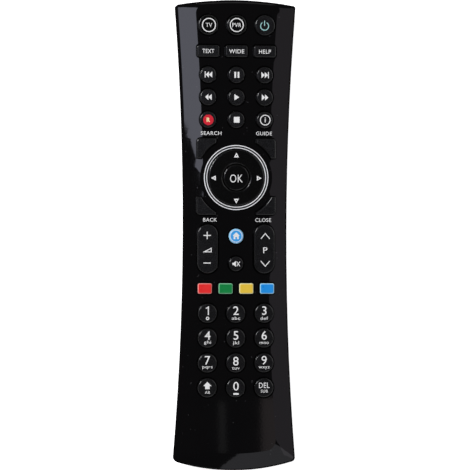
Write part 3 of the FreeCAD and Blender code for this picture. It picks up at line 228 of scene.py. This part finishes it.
def capPlastic(name, look):
    # Coloured key: a paler line along its bevel, painted light where the thin translucent edge lets light
    # through, and a black skirt
    shader = Shader(name, Specular_IOR_Level=capFinish["gloss"])
    cloud = shader.noise(capFinish["cloudScale"], 3.0)
    grain = shader.noise(capFinish["grainScale"], 2.0)
    height = shader.axis("Z")
    # The bevel's paler tone is painted light
    bevelLight = 1 - shader.step(height, capFinish["bevelLow"] * mm, capFinish["bevelHigh"] * mm)
    skirt = 1 - shader.step(height, look["skirt"] * mm, (look["skirt"] + capFinish["skirtBorder"]) * mm)
    face = shader.tint(cloud, linear(*look["colour"]), linear(*look["shade"]))
    bevelLitFace = shader.tint(bevelLight, face, linear(*look["rim"]))
    shader.feed(
        Base_Color=shader.tint(skirt, bevelLitFace, linear(*capFinish["skirtTone"])),
        Roughness=cloud * capFinish["spread"] + capFinish["roughness"],
        Normal=shader.bump(grain, capFinish["grainDepth"] * mm))
    return shader.material


# Each cap's rim tone is the painted light along its bevel
capLooks = {
    "key_red": {"colour": (218, 36, 36), "shade": (226, 46, 44), "rim": (244, 140, 134), "skirt": 22.56},
    "key_green": {"colour": (4, 118, 56), "shade": (10, 130, 63), "rim": (130, 200, 158), "skirt": 22.56},
    "key_yellow": {"colour": (220, 184, 56), "shade": (226, 192, 68), "rim": (244, 238, 180), "skirt": 22.56},
    "key_blue": {"colour": (20, 132, 214), "shade": (30, 142, 222), "rim": (162, 218, 246), "skirt": 22.56},
    "key_sky": {"colour": (44, 144, 218), "shade": (58, 160, 230), "rim": (160, 216, 246), "skirt": 22.45},
}


# The near-black tone, its border and its roughness are the painted shade in the trim's groove
metalFinish = {"shadeTone": (12, 12, 13), "paintBorder": 0.1, "paintRoughness": 0.3, "spread": 0.12, "gloss": 0.5,
               "hazeScale": 500.0, "scratchScale": 900.0, "scratchStretch": (1.0, 14.0, 1.0),
               "scratchDepth": 0.0006}


def brightMetal(name, look):
    # What lies deeper than the look's height limit is painted black, painted shade in the trim's groove; at
    # -9 nothing is
    shader = Shader(name, Specular_IOR_Level=metalFinish["gloss"])
    haze = shader.noise(metalFinish["hazeScale"], 3.0)
    stretched = shader.node("ShaderNodeMapping", None, {
        "Vector": shader.place, "Scale": metalFinish["scratchStretch"]})
    scratch = shader.node("ShaderNodeTexNoise", None, {
        "Vector": stretched, "Scale": metalFinish["scratchScale"], "Detail": 2.0})
    shadedGroove = 1 - shader.step(shader.axis("Z"),
                           (look["shadeBelow"] - metalFinish["paintBorder"]) * mm, look["shadeBelow"] * mm)
    bright = shader.tint(haze, linear(*look["colour"]), linear(*look["shade"]))
    shader.feed(
        Base_Color=shader.tint(shadedGroove, bright, linear(*metalFinish["shadeTone"])),
        Metallic=(1 - shadedGroove) * look["metal"],
        Roughness=haze * metalFinish["spread"] + look["roughness"] + shadedGroove * metalFinish["paintRoughness"],
        Normal=shader.bump(scratch, metalFinish["scratchDepth"] * mm))
    return shader.material


metalLooks = {
    "bright_trim": {
        "colour": (236, 237, 240), "shade": (248, 248, 250), "metal": 0.05, "roughness": 0.2,
        "shadeBelow": 22.51},
    "steel": {
        "colour": (150, 150, 152), "shade": (176, 176, 178), "metal": 1.0, "roughness": 0.25,
        "shadeBelow": -9.0},
    "spring_steel": {
        "colour": (186, 184, 178), "shade": (206, 204, 198), "metal": 1.0, "roughness": 0.2,
        "shadeBelow": -9.0},
}


lensLook = {"colour": (16, 5, 7), "shade": (24, 8, 10), "cloudScale": 150.0, "roughness": 0.05,
            "spread": 0.05, "gloss": 0.5, "coat": 0.6, "coatSpread": 0.4, "coatRoughness": 0.03}


def smokedLens(name, look):
    shader = Shader(name, Specular_IOR_Level=look["gloss"], Coat_Roughness=look["coatRoughness"])
    cloud = shader.noise(look["cloudScale"], 3.0)
    shader.feed(
        Base_Color=shader.tint(cloud, linear(*look["colour"]), linear(*look["shade"])),
        Roughness=cloud * look["spread"] + look["roughness"],
        Coat_Weight=look["coat"] + cloud * look["coatSpread"])
    return shader.material


ledLook = {"colour": (150, 160, 190), "shade": (190, 196, 214), "cloudScale": 400.0, "roughness": 0.08,
           "spread": 0.1, "gloss": 0.5}


def clearLamp(name, look):
    shader = Shader(name, Specular_IOR_Level=look["gloss"])
    cloud = shader.noise(look["cloudScale"], 2.0)
    shader.feed(
        Base_Color=shader.tint(cloud, linear(*look["colour"]), linear(*look["shade"])),
        Roughness=cloud * look["spread"] + look["roughness"])
    return shader.material


boardLook = {"colour": (16, 70, 40), "shade": (22, 88, 50), "track": (58, 120, 70), "cloudScale": 200.0,
             "trackScale": 160.0, "trackWidth": 0.03, "trackBlur": 0.1, "trackDepth": 0.03, "stagger": 0.5,
             "roughness": 0.28, "spread": 0.1, "gloss": 0.5}


def boardLacquer(name, look):
    # Solder mask with pale tracks in a grid of runs and pads
    shader = Shader(name, Specular_IOR_Level=look["gloss"])
    runs = shader.node("ShaderNodeTexBrick", {"offset": look["stagger"]}, {
        "Vector": shader.place, "Scale": look["trackScale"], "Mortar Size": look["trackWidth"],
        "Mortar Smooth": look["trackBlur"]}, output="Fac")
    cloud = shader.noise(look["cloudScale"], 3.0)
    mask = shader.tint(cloud, linear(*look["colour"]), linear(*look["shade"]))
    shader.feed(
        Base_Color=shader.tint(runs, mask, linear(*look["track"])),
        Roughness=look["roughness"] + cloud * look["spread"],
        Normal=shader.bump(runs, look["trackDepth"] * mm))
    return shader.material


sleeveFinish = {"cloudScale": 180.0, "bandBorder": 0.2, "roughness": 0.22, "spread": 0.12, "gloss": 0.5}


def wrappedSleeve(name, look):
    # Printed sleeve: a band in another colour from bandFrom to the +Y end; the capacitor ends before its band
    shader = Shader(name, Specular_IOR_Level=sleeveFinish["gloss"])
    cloud = shader.noise(sleeveFinish["cloudScale"], 3.0)
    low = look["bandFrom"] * mm
    band = shader.step(shader.axis("Y"), low, low + sleeveFinish["bandBorder"] * mm)
    body = shader.tint(cloud, linear(*look["colour"]), linear(*look["shade"]))
    shader.feed(
        Base_Color=shader.tint(band, body, linear(*look["band"])),
        Roughness=cloud * sleeveFinish["spread"] + sleeveFinish["roughness"],
        Metallic=band * look["bandMetal"])
    return shader.material


sleeveLooks = {
    "cell_sleeve": {
        "colour": (40, 44, 52), "shade": (52, 56, 66), "band": (184, 120, 60), "bandFrom": -66.0,
        "bandMetal": 0.8},
    "capacitor_sleeve": {
        "colour": (20, 32, 70), "shade": (28, 42, 88), "band": (28, 42, 88), "bandFrom": 40.0,
        "bandMetal": 0.0},
}

finishes = {name: mouldedPlastic(name, look) for name, look in plasticLooks.items()}
finishes.update({name: capPlastic(name, look) for name, look in capLooks.items()})
finishes.update({name: brightMetal(name, look) for name, look in metalLooks.items()})
finishes.update({name: wrappedSleeve(name, look) for name, look in sleeveLooks.items()})
finishes["ir_window"] = smokedLens("ir_window", lensLook)
finishes["lamp_clear"] = clearLamp("lamp_clear", ledLook)
finishes["board_green"] = boardLacquer("board_green", boardLook)

# The pad's two keys and the two mode keys are darker than the others
darkKeys = ("nav_ring", "key_ok", "key_tv", "key_pvr")
for name, node in nodes.items():
    for place in node.material_slots:
        slotName = place.material.name.split(".")[0]
        place.material = finishes["pad_black" if name in darkKeys else slotName]
print("finishes:", len(finishes))


# Printed legends
inkFinish = {"cloudScale": 1600.0, "roughness": 0.45, "spread": 0.15, "depth": 0.004, "gloss": 0.3}


def ink(name, tone, shade):
    shader = Shader(name, Specular_IOR_Level=inkFinish["gloss"])
    cloud = shader.noise(inkFinish["cloudScale"], 3.0)
    shader.feed(
        Base_Color=shader.tint(cloud, linear(*tone), linear(*shade)),
        Roughness=inkFinish["roughness"] + cloud * inkFinish["spread"],
        Normal=shader.bump(cloud, inkFinish["depth"] * mm))
    return shader.material


inks = {
    "white": ink("ink_white", (234, 234, 233), (218, 218, 218)),
    "teal": ink("ink_teal", (168, 214, 212), (140, 190, 190)),
    "red": ink("ink_red", (206, 26, 48), (190, 22, 40)),
    "cream": ink("ink_cream", (250, 248, 190), (236, 232, 170)),
}
# How far print stands out of a key and sinks into it, and the step from one layer to the next
legend = {"proud": 0.03, "sunk": 0.02, "layer": 0.015, "spacing": 1.1, "curveSteps": 5, "trialSize": 10.0}


def meshFromCurve(curve):
    curve.extrude = (legend["proud"] + legend["sunk"]) / 2
    holder = bpy.data.objects.new("holder", curve)
    scene.collection.objects.link(holder)
    bpy.context.view_layer.update()
    mesh = bpy.data.meshes.new_from_object(holder.evaluated_get(bpy.context.evaluated_depsgraph_get()))
    bpy.data.objects.remove(holder)
    return mesh


def meshBox(mesh):
    corners = [vertex.co for vertex in mesh.vertices]
    low = Vector([min(corner[i] for corner in corners) for i in range(3)])
    high = Vector([max(corner[i] for corner in corners) for i in range(3)])
    return low, high


def lettering(words, height, width=None, weight=0.0, reference=None):
    # Words as tall as height, measured on reference if there is one, centred; sizes in millimetres
    def shape(body, size):
        curve = bpy.data.curves.new("words", "FONT")
        curve.body = body
        curve.size = size
        curve.offset = weight
        curve.space_character = legend["spacing"]
        curve.resolution_u = legend["curveSteps"]
        return meshFromCurve(curve)

    low, high = meshBox(shape(reference or words, legend["trialSize"]))
    size = legend["trialSize"] * (height - 2 * weight) / (high.y - low.y - 2 * weight)
    mesh = shape(words, size)
    refLow, refHigh = meshBox(shape(reference or words, size))
    low, high = meshBox(mesh)
    stretch = width / (high.x - low.x) if width else 1.0
    middle = Vector(((low.x + high.x) / 2, (refLow.y + refHigh.y) / 2, 0))
    mesh.transform(Matrix.Diagonal((stretch, 1, 1, 1)) @ Matrix.Translation(-middle))
    return mesh


def flatShape(*loops):
    # A flat figure from closed outlines; an outline inside another is a hole
    curve = bpy.data.curves.new("figure", "CURVE")
    curve.dimensions = "2D"
    curve.fill_mode = "BOTH"
    for loop in loops:
        line = curve.splines.new("POLY")
        line.points.add(len(loop) - 1)
        for point, (x, y) in zip(line.points, loop):
            point.co = (x, y, 0, 1)
        line.use_cyclic_u = True
    return meshFromCurve(curve)


def circlePoints(radius, start=0, end=360):
    # A full turn leaves out its last point, which is its first
    steps = 48
    count = steps if end - start == 360 else steps + 1
    angles = [math.radians(start + (end - start) * number / steps) for number in range(count)]
    return [(radius * math.cos(angle), radius * math.sin(angle)) for angle in angles]


def ringShape(radius, stroke):
    return flatShape(circlePoints(radius), circlePoints(radius - stroke))


def barShape(width, height, x=0.0, y=0.0):
    return flatShape([(x - width / 2, y - height / 2), (x + width / 2, y - height / 2),
                      (x + width / 2, y + height / 2), (x - width / 2, y + height / 2)])


def arrowHead(tip, back, half):
    return flatShape([(tip, 0), (back, half), (back, -half)])


def strokeShape(points, stroke):
    # An open line of even thickness with square ends; sharpest limits how far a bend's corner reaches
    sharpest = 0.3
    left, right = [], []
    for number, point in enumerate(points):
        here = Vector(point)
        before = Vector(points[max(number - 1, 0)])
        after = Vector(points[min(number + 1, len(points) - 1)])
        first = (here - before).normalized() if number else (after - here).normalized()
        second = (after - here).normalized() if number < len(points) - 1 else first
        normal = Vector((-(first + second).y, (first + second).x)).normalized()
        reach = stroke / 2 / max(normal.dot(Vector((-first.y, first.x))), sharpest)
        left.append(tuple(here + normal * reach))
        right.append(tuple(here - normal * reach))
    return flatShape(left + right[::-1])


def printOn(name, body, centre, parts):
    # Parts are (mesh, x, y, ink, layer), places in millimetres from the centre of the key's top
    gathered = bmesh.new()
    used = []
    for mesh, x, y, tone, layer in parts:
        if tone not in used:
            used.append(tone)
        height = centre.z + (legend["proud"] - legend["sunk"]) / 2 * mm + layer * legend["layer"] * mm
        place = Matrix.Translation((centre.x + x * mm, centre.y + y * mm, height))
        mesh.transform(place @ Matrix.Scale(mm, 4))
        before = len(gathered.faces)
        gathered.from_mesh(mesh)
        gathered.faces.ensure_lookup_table()
        for face in gathered.faces[before:]:
            face.material_index = used.index(tone)
        bpy.data.meshes.remove(mesh)
    finished = bpy.data.meshes.new(name)
    gathered.to_mesh(finished)
    gathered.free()
    for tone in used:
        finished.materials.append(inks[tone])
    piece = bpy.data.objects.new(name, finished)
    scene.collection.objects.link(piece)
    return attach(piece, body)


bodyOf = {name: node["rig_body"] for name, node in nodes.items()}


def topOf(name):
    low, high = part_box(name)
    return Vector(((low.x + high.x) / 2, (low.y + high.y) / 2, high.z))


wordPrint = {"height": 1.9, "weight": 0.02, "y": -0.1}
words = {"key_text": ("TEXT", 5.5), "key_zoom": ("WIDE", 7.1), "key_help": ("HELP", 5.6)}
for name, (word, width) in words.items():
    mesh = lettering(word, wordPrint["height"], width, wordPrint["weight"])
    printOn(f"legend_{name}", bodyOf[name], topOf(name), [(mesh, 0, wordPrint["y"], "white", 0)])

# Mode keys: a word in a ring; each has its word, the word's width, and how far off the middle both sit
modeRing = {"radius": 3.3, "stroke": 0.44, "height": 1.9, "weight": 0.01}
modes = {"key_tv": ("TV", 3.0, 0.25, -0.15), "key_pvr": ("PVR", 4.2, 0, 0)}
for name, (word, width, x, y) in modes.items():
    printOn(f"legend_{name}", bodyOf[name], topOf(name), [
        (ringShape(modeRing["radius"], modeRing["stroke"]), x, y, "white", 0),
        (lettering(word, modeRing["height"], width, modeRing["weight"]), x, y, "white", 0)])

# Power sign: a ring that is open for gap degrees each side of its bar
power = {"radius": 2.1, "stroke": 0.38, "gap": 32, "bar": 2.4, "barY": 1.35, "x": -0.22, "y": -0.35}
opening = {"start": 90 + power["gap"], "end": 450 - power["gap"]}
powerArc = (circlePoints(power["radius"], **opening)
            + circlePoints(power["radius"] - power["stroke"], **opening)[::-1])
printOn("legend_key_power", bodyOf["key_power"], topOf("key_power"), [
    (flatShape(powerArc), power["x"], power["y"], "teal", 0),
    (barShape(power["stroke"], power["bar"], 0, power["barY"]), power["x"], power["y"], "teal", 0)])

tape = {"half": 1.45, "reach": 1.55, "bar": 0.42, "x": 0.1, "playTip": 1.15, "playBack": -1.1,
        "pauseWidth": 0.85, "pauseHeight": 2.8, "pauseX": 0.75, "stop": 2.7}


def arrows(direction, count, bar):
    # Arrow heads one behind the other, with a bar at the tip where it skips
    total = tape["reach"] * count + (tape["bar"] if bar else 0)
    start = -total / 2
    shapes = []
    for number in range(count):
        back = start + tape["reach"] * number
        shapes.append(arrowHead((back + tape["reach"]) * direction, back * direction, tape["half"]))
    if bar:
        shapes.append(barShape(tape["bar"], tape["half"] * 2, (total / 2 - tape["bar"] / 2) * direction))
    return shapes


transport = {
    "key_skip_back": arrows(-1, 2, True), "key_skip_forward": arrows(1, 2, True),
    "key_rewind": arrows(-1, 2, False), "key_fast_forward": arrows(1, 2, False),
    "key_play": [arrowHead(tape["playTip"], tape["playBack"], tape["half"])],
    "key_pause": [barShape(tape["pauseWidth"], tape["pauseHeight"], side * tape["pauseX"])
                  for side in (-1, 1)],
    "key_stop": [barShape(tape["stop"], tape["stop"])],
}
for name, shapes in transport.items():
    parts = [(mesh, tape["x"], 0, "white", 0) for mesh in shapes]
    printOn(f"legend_{name}", bodyOf[name], topOf(name), parts)

recordDisc = {"radius": 2.45, "letter": 2.0, "weight": 0.05, "x": 0.1, "y": -0.15}
printOn("legend_key_record", bodyOf["key_record"], topOf("key_record"), [
    (flatShape(circlePoints(recordDisc["radius"])), recordDisc["x"], recordDisc["y"], "red", 0),
    (lettering("R", recordDisc["letter"], None, recordDisc["weight"]),
     recordDisc["x"], recordDisc["y"], "cream", 1)])

infoSign = {"radius": 2.5, "stroke": 0.42, "ringY": -0.05, "stem": 1.5, "stemY": -0.35, "dot": 0.45,
            "dotY": 0.95, "x": 0.2}
printOn("legend_key_info", bodyOf["key_info"], topOf("key_info"), [
    (ringShape(infoSign["radius"], infoSign["stroke"]), infoSign["x"], infoSign["ringY"], "white", 0),
    (barShape(infoSign["stroke"], infoSign["stem"]), infoSign["x"], infoSign["stemY"], "white", 0),
    (barShape(infoSign["stroke"], infoSign["dot"]), infoSign["x"], infoSign["dotY"], "white", 0)])

# Direction pad: OK in its middle and four outlined arrow heads
okPrint = {"height": 3.65, "width": 5.9, "weight": -0.03, "y": -0.45}
printOn("legend_key_ok", bodyOf["key_ok"], topOf("key_ok"), [
    (lettering("OK", okPrint["height"], okPrint["width"], okPrint["weight"]), 0, okPrint["y"], "white", 0)])

padArrow = {"radius": 10.8, "lowered": 0.25, "half": 1.2, "height": 2.25, "hole": 0.36, "holeLow": -0.55,
            "holeHigh": 0.15}
padShapes = []
for quarter in range(4):
    head = flatShape(
        [(-padArrow["half"], -padArrow["height"] / 2), (padArrow["half"], -padArrow["height"] / 2),
         (0, padArrow["height"] / 2)],
        [(-padArrow["hole"], padArrow["holeLow"]), (padArrow["hole"], padArrow["holeLow"]),
         (0, padArrow["holeHigh"])])
    head.transform(Matrix.Rotation(math.radians(90 * quarter), 4, "Z")
                   @ Matrix.Translation((0, padArrow["radius"], 0)))
    padShapes.append((head, 0, -padArrow["lowered"], "white", 0))
printOn("legend_nav_ring", bodyOf["nav_ring"], topOf("nav_ring"), padShapes)

# Volume rocker: plus, an outlined wedge, minus; the plus is a bar and two arms that stop short of it
volume = {
    "width": 3.5, "stroke": 0.44, "x": -0.3, "plusY": 6.3, "minusY": -6.6, "arm": 1.5, "armY": 1.0,
    "wedge": [(-2.15, -1.13), (2.15, -1.13), (2.15, 1.13)],
    "wedgeHole": [(-0.45, -0.75), (1.8, -0.75), (1.8, 0.5)], "wedgeX": -0.35, "wedgeY": -0.45}
printOn("legend_volume_rocker", bodyOf["volume_rocker"], topOf("volume_rocker"), [
    (barShape(volume["width"], volume["stroke"]), volume["x"], volume["plusY"], "white", 0),
    (barShape(volume["stroke"], volume["arm"], 0, volume["armY"]), volume["x"], volume["plusY"], "white", 0),
    (barShape(volume["stroke"], volume["arm"], 0, -volume["armY"]), volume["x"], volume["plusY"], "white", 0),
    (flatShape(volume["wedge"], volume["wedgeHole"]), volume["wedgeX"], volume["wedgeY"], "white", 0),
    (barShape(volume["width"], volume["stroke"]), volume["x"], volume["minusY"], "white", 0)])

# Program rocker: a chevron each way, with a letter between
program = {
    "chevron": [(-2.1, -1.25), (0, 1.25), (2.1, -1.25)], "stroke": 0.4, "x": 0.4, "upY": 6.0, "downY": -6.85,
    "letter": 2.7, "letterWidth": 2.0, "letterWeight": 0.01, "letterY": -0.55}
upsideDown = [(x, -y) for x, y in program["chevron"]]
printOn("legend_program_rocker", bodyOf["program_rocker"], topOf("program_rocker"), [
    (strokeShape(program["chevron"], program["stroke"]), program["x"], program["upY"], "white", 0),
    (lettering("P", program["letter"], program["letterWidth"], program["letterWeight"]),
     program["x"], program["letterY"], "white", 0),
    (strokeShape(upsideDown, program["stroke"]), program["x"], program["downY"], "white", 0)])

# Home key: a plain house, and a pale rim line
house = {
    "rim": 2.9, "rimStroke": 0.26, "y": 0.1, "roof": [(-1.75, 0.0), (1.75, 0.0), (0, 1.75)],
    "walls": [(-1.2, -1.5), (-0.4, -1.5), (-0.4, -0.5), (0.4, -0.5), (0.4, -1.5), (1.2, -1.5), (1.2, 0.05),
              (-1.2, 0.05)]}
printOn("legend_key_home", bodyOf["key_home"], topOf("key_home"), [
    (ringShape(house["rim"], house["rimStroke"]), 0, 0, "white", 0),
    (flatShape(house["roof"]), 0, house["y"], "white", 0),
    (flatShape(house["walls"]), 0, house["y"], "white", 0)])

# Mute key: a loudspeaker and a cross
speaker = {
    "body": [(-1.75, -0.5), (-1.15, -0.5), (-0.1, -1.4), (-0.1, 1.4), (-1.15, 0.5), (-1.75, 0.5)],
    "cross": [(0.3, 1.05), (1.75, -1.05)], "stroke": 0.32}
printOn("legend_key_mute", bodyOf["key_mute"], topOf("key_mute"), [
    (flatShape(speaker["body"]), 0, 0, "white", 0),
    (strokeShape(speaker["cross"], speaker["stroke"]), 0, 0, "white", 0),
    (strokeShape([(x, -y) for x, y in speaker["cross"]], speaker["stroke"]), 0, 0, "white", 1)])

# Digit block: letters below each digit, with their width and how much higher than usual they sit
digitPrint = {"height": 4.05, "weight": 0.02, "y": 1.25, "eightLowered": 0.4, "small": 1.45, "smallY": -2.35,
              "smallWeight": 0.01}
letters = {
    "2": ("abc", 4.0, 0.05), "3": ("def", 3.6, 0.0), "4": ("ghi", 3.3, 0.5), "5": ("jkl", 2.9, 0.2),
    "6": ("mno", 4.4, 0.3), "7": ("pqrs", 4.8, 0.6), "8": ("tuv", 3.6, 0.0), "9": ("wxyz", 5.2, 0.5)}
for digit, (word, width, raised) in letters.items():
    name = f"key_{digit}"
    y = digitPrint["y"] - (digitPrint["eightLowered"] if digit == "8" else 0)
    printOn(f"legend_{name}", bodyOf[name], topOf(name), [
        (lettering(digit, digitPrint["height"], None, digitPrint["weight"]), 0, y, "white", 0),
        (lettering(word, digitPrint["small"], width, digitPrint["smallWeight"], "b"),
         0, digitPrint["smallY"] + raised, "white", 0)])

# 1 has a flag and no foot, over a small ring
one = {
    "outline": [(0.1, -2.05), (0.6, -2.05), (0.6, 2.05), (0.2, 2.05), (-0.05, 1.6), (-0.85, 1.3),
                (-0.85, 0.9), (0.1, 1.05)],
    "ring": 0.8, "ringStroke": 0.4}
printOn("legend_key_1", bodyOf["key_1"], topOf("key_1"), [
    (flatShape(one["outline"]), 0, digitPrint["y"], "white", 0),
    (ringShape(one["ring"], one["ringStroke"]), 0, digitPrint["smallY"], "white", 0)])

zero = {"x": 0.1, "y": 0.75, "barWidth": 2.5, "barHeight": 0.8, "barY": -2.85}
printOn("legend_key_0", bodyOf["key_0"], topOf("key_0"), [
    (lettering("0", digitPrint["height"], None, digitPrint["weight"]), zero["x"], zero["y"], "white", 0),
    (barShape(zero["barWidth"], zero["barHeight"]), zero["x"], zero["barY"], "white", 0)])

shift = {
    "arrow": [(-1.05, -1.65), (1.05, -1.65), (1.05, -0.2), (1.95, -0.2), (0, 1.8), (-1.95, -0.2),
              (-1.05, -0.2)],
    "arrowY": 1.05, "height": 1.25, "width": 2.3, "y": -2.1}
printOn("legend_key_shift", bodyOf["key_shift"], topOf("key_shift"), [
    (flatShape(shift["arrow"]), 0, shift["arrowY"], "white", 0),
    (lettering("AB", shift["height"], shift["width"], digitPrint["smallWeight"]), 0, shift["y"], "white", 0)])

deleteWords = {"DEL": {"height": 2.5, "width": 5.0, "weight": 0.02, "x": 0.1, "y": 1.1},
               "SUB": {"height": 1.35, "width": 3.3, "weight": 0.01, "x": 0.1, "y": -1.6}}
printOn("legend_key_delete", bodyOf["key_delete"], topOf("key_delete"), [
    (lettering(word, look["height"], look["width"], look["weight"]), look["x"], look["y"], "white", 0)
    for word, look in deleteWords.items()])

# Names printed on the face beside the quarter keys; places in millimetres in the object's frame
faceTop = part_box("top_shell")[1].z
facePrint = {"height": 1.7, "weight": 0.01}
faceWords = {
    "search": ("SEARCH", 9.7, -11.85, 47.75), "guide": ("GUIDE", 7.5, 13.1, 47.75),
    "back": ("BACK", 6.5, -12.25, 7.2), "close": ("CLOSE", 7.5, 12.85, 7.15)}
for name, (word, width, x, y) in faceWords.items():
    printOn(f"label_{name}", "root", Vector((0, 0, faceTop)), [
        (lettering(word, facePrint["height"], width, facePrint["weight"]), x, y, "white", 0)])
print("legends printed")


# Camera: where the photograph was taken from
photo = {"pixels": 470, "mmPerPixel": 0.4682, "aimX": -0.5, "aimY": 0.12, "aimZ": 22.5,
         "distance": 1200.0, "tilt": 7.0, "turn": 0.16, "sensor": 36.0, "nearest": 50.0}
aim = Vector((photo["aimX"], photo["aimY"], photo["aimZ"])) * mm
leaning = math.radians(photo["tilt"])
backwards = Vector((-math.sin(leaning), 0, math.cos(leaning)))
camera = bpy.data.objects.new("camera", bpy.data.cameras.new("camera"))
scene.collection.objects.link(camera)
scene.camera = camera
camera.data.sensor_width = photo["sensor"]
camera.data.lens = photo["sensor"] * photo["distance"] / (photo["pixels"] * photo["mmPerPixel"])
camera.data.clip_start = photo["nearest"] * mm
upwards = Matrix.Rotation(math.radians(photo["turn"]), 3, backwards) @ Vector((0, 1, 0))
sideways = upwards.cross(backwards).normalized()
upwards = backwards.cross(sideways)
facing = Matrix((sideways, upwards, backwards)).transposed().to_4x4()
camera.matrix_world = Matrix.Translation(aim + backwards * photo["distance"] * mm) @ facing


# Studio: white floor, soft lamps, and a room that is pale round the horizon and dark overhead
def panel(name, look):
    # A lamp that faces the object; its width runs along the given direction
    lamp = bpy.data.lights.new(name, "AREA")
    lamp.shape = "RECTANGLE"
    lamp.size = look["width"]
    lamp.size_y = look["height"]
    lamp.energy = look["radiance"] * math.pi * look["width"] * look["height"]
    lamp.color = look.get("tone", (1, 1, 1))
    holder = bpy.data.objects.new(name, lamp)
    scene.collection.objects.link(holder)
    place = Vector(look["place"])
    backwards = place.normalized()
    along = Vector(look["along"])
    across = (along - backwards * along.dot(backwards)).normalized()
    turned = Matrix((across, backwards.cross(across), backwards)).transposed().to_4x4()
    holder.matrix_world = Matrix.Translation(place) @ turned


lamps = {
    # The face's left flank mirrors this one, cut off by its slanting lower edge
    "softbox": {"place": (-0.257, 0.21, 1.05), "along": (-0.98, 0.2, 0), "width": 0.48, "height": 0.308,
                "radiance": 2.25, "tone": (0.92, 0.94, 1.12)},
    # The upper left edges of the keys mirror this one as bright arcs
    "leftLamp": {"place": (-0.887, 0.621, 1.01), "along": (0.574, 0.819, 0), "width": 0.52, "height": 0.36,
                 "radiance": 30.0},
    "rightFill": {"place": (0.54, -0.01, 1.0), "along": (1, 0, 0), "width": 0.3, "height": 0.84,
                  "radiance": 0.3, "tone": (1.05, 0.96, 1.08)},
    # Dim patches mirrored in the lower right of the face and in its bottom end
    "lowFill": {"place": (0.19, -0.172, 1.05), "along": (1, 0, 0), "width": 0.08, "height": 0.062,
                "radiance": 0.3, "tone": (1.14, 0.97, 0.97)},
    "streak": {"place": (0.115, -0.168, 1.05), "along": (1, 0, 0), "width": 0.006, "height": 0.045,
               "radiance": 0.15},
    "endFill": {"place": (0.36, -0.54, 0.95), "along": (0.985, -0.174, 0), "width": 0.5, "height": 0.66,
                "radiance": 0.5, "tone": (0.98, 0.98, 1.06)},
    "rightLamp": {"place": (1.0, 0.5, 0.75), "along": (0, 1, 0), "width": 1.0, "height": 0.8,
                  "radiance": 1.2},
    "frontLamp": {"place": (0.1, -1.2, 0.6), "along": (1, 0, 0), "width": 1.6, "height": 0.6,
                  "radiance": 0.9}}
for name, look in lamps.items():
    panel(name, look)

# Half the floor's width and its gap under the flat back, in metres
ground = {"half": 4.0, "gap": 0.00005, "tone": 0.9, "speckTone": 0.88, "speckScale": 30.0, "roughness": 0.9,
          "gloss": 0.1, "glow": 0.8}
floorMesh = bmesh.new()
bmesh.ops.create_grid(floorMesh, x_segments=1, y_segments=1, size=ground["half"])
floorData = bpy.data.meshes.new("floor")
floorMesh.to_mesh(floorData)
floorMesh.free()
floor = bpy.data.objects.new("floor", floorData)
floor.location.z = -ground["gap"]
scene.collection.objects.link(floor)
floorShader = Shader("floor_white", Roughness=ground["roughness"], Specular_IOR_Level=ground["gloss"])
speckle = floorShader.noise(ground["speckScale"], 2.0)
plain, speck = [[tone] * 3 + [1] for tone in (ground["tone"], ground["speckTone"])]
floorShader.feed(Base_Color=floorShader.tint(speckle, plain, speck))
# Seen, mirrored or looked at through glass, the floor is white; it still takes shadows
seen = sum(floorShader.node("ShaderNodeLightPath", output=f"Is {kind} Ray")
           for kind in ("Camera", "Glossy", "Transmission"))
lit = Value(floorShader, floorShader.surface.outputs[0])
glow = floorShader.node("ShaderNodeEmission", None, {"Color": (1, 1, 1, 1), "Strength": ground["glow"]})
shown = floorShader.node("ShaderNodeAddShader", None, {0: lit, 1: glow})
above = floorShader.node("ShaderNodeMixShader", None, {0: seen, 1: lit, 2: shown})
# From below it is clear, so that the back can be looked at
below = floorShader.node("ShaderNodeNewGeometry", output="Backfacing")
floorShader.blend(below, above, floorShader.node("ShaderNodeBsdfTransparent"))
floorData.materials.append(floorShader.material)

world = bpy.data.worlds.new("studio")
scene.world = world
world.use_nodes = True
room = world.node_tree
direction = room.nodes.new("ShaderNodeTexCoord")
split = room.nodes.new("ShaderNodeSeparateXYZ")
ramp = room.nodes.new("ShaderNodeValToRGB")
room.links.new(direction.outputs["Generated"], split.inputs[0])
room.links.new(split.outputs["Z"], ramp.inputs[0])
# The camera sees the room white, past the floor's edge or below it
rays = room.nodes.new("ShaderNodeLightPath")
backdrop = room.nodes.new("ShaderNodeMix")
backdrop.data_type = "RGBA"
backdrop.inputs[7].default_value = (1, 1, 1, 1)
room.links.new(rays.outputs["Is Camera Ray"], backdrop.inputs[0])
room.links.new(ramp.outputs[0], backdrop.inputs[6])
room.links.new(backdrop.outputs[2], room.nodes["Background"].inputs["Color"])
# Height of the look direction, and brightness there
roomTones = [(0.0, 0.55), (0.35, 0.5), (0.62, 0.15), (0.8, 0.03), (1.0, 0.03)]
for number, (position, shade) in enumerate(roomTones):
    stops = ramp.color_ramp.elements
    stop = stops[number] if number < 2 else stops.new(position)
    stop.position = position
    stop.color = (shade, shade, shade, 1)
print("studio ready")
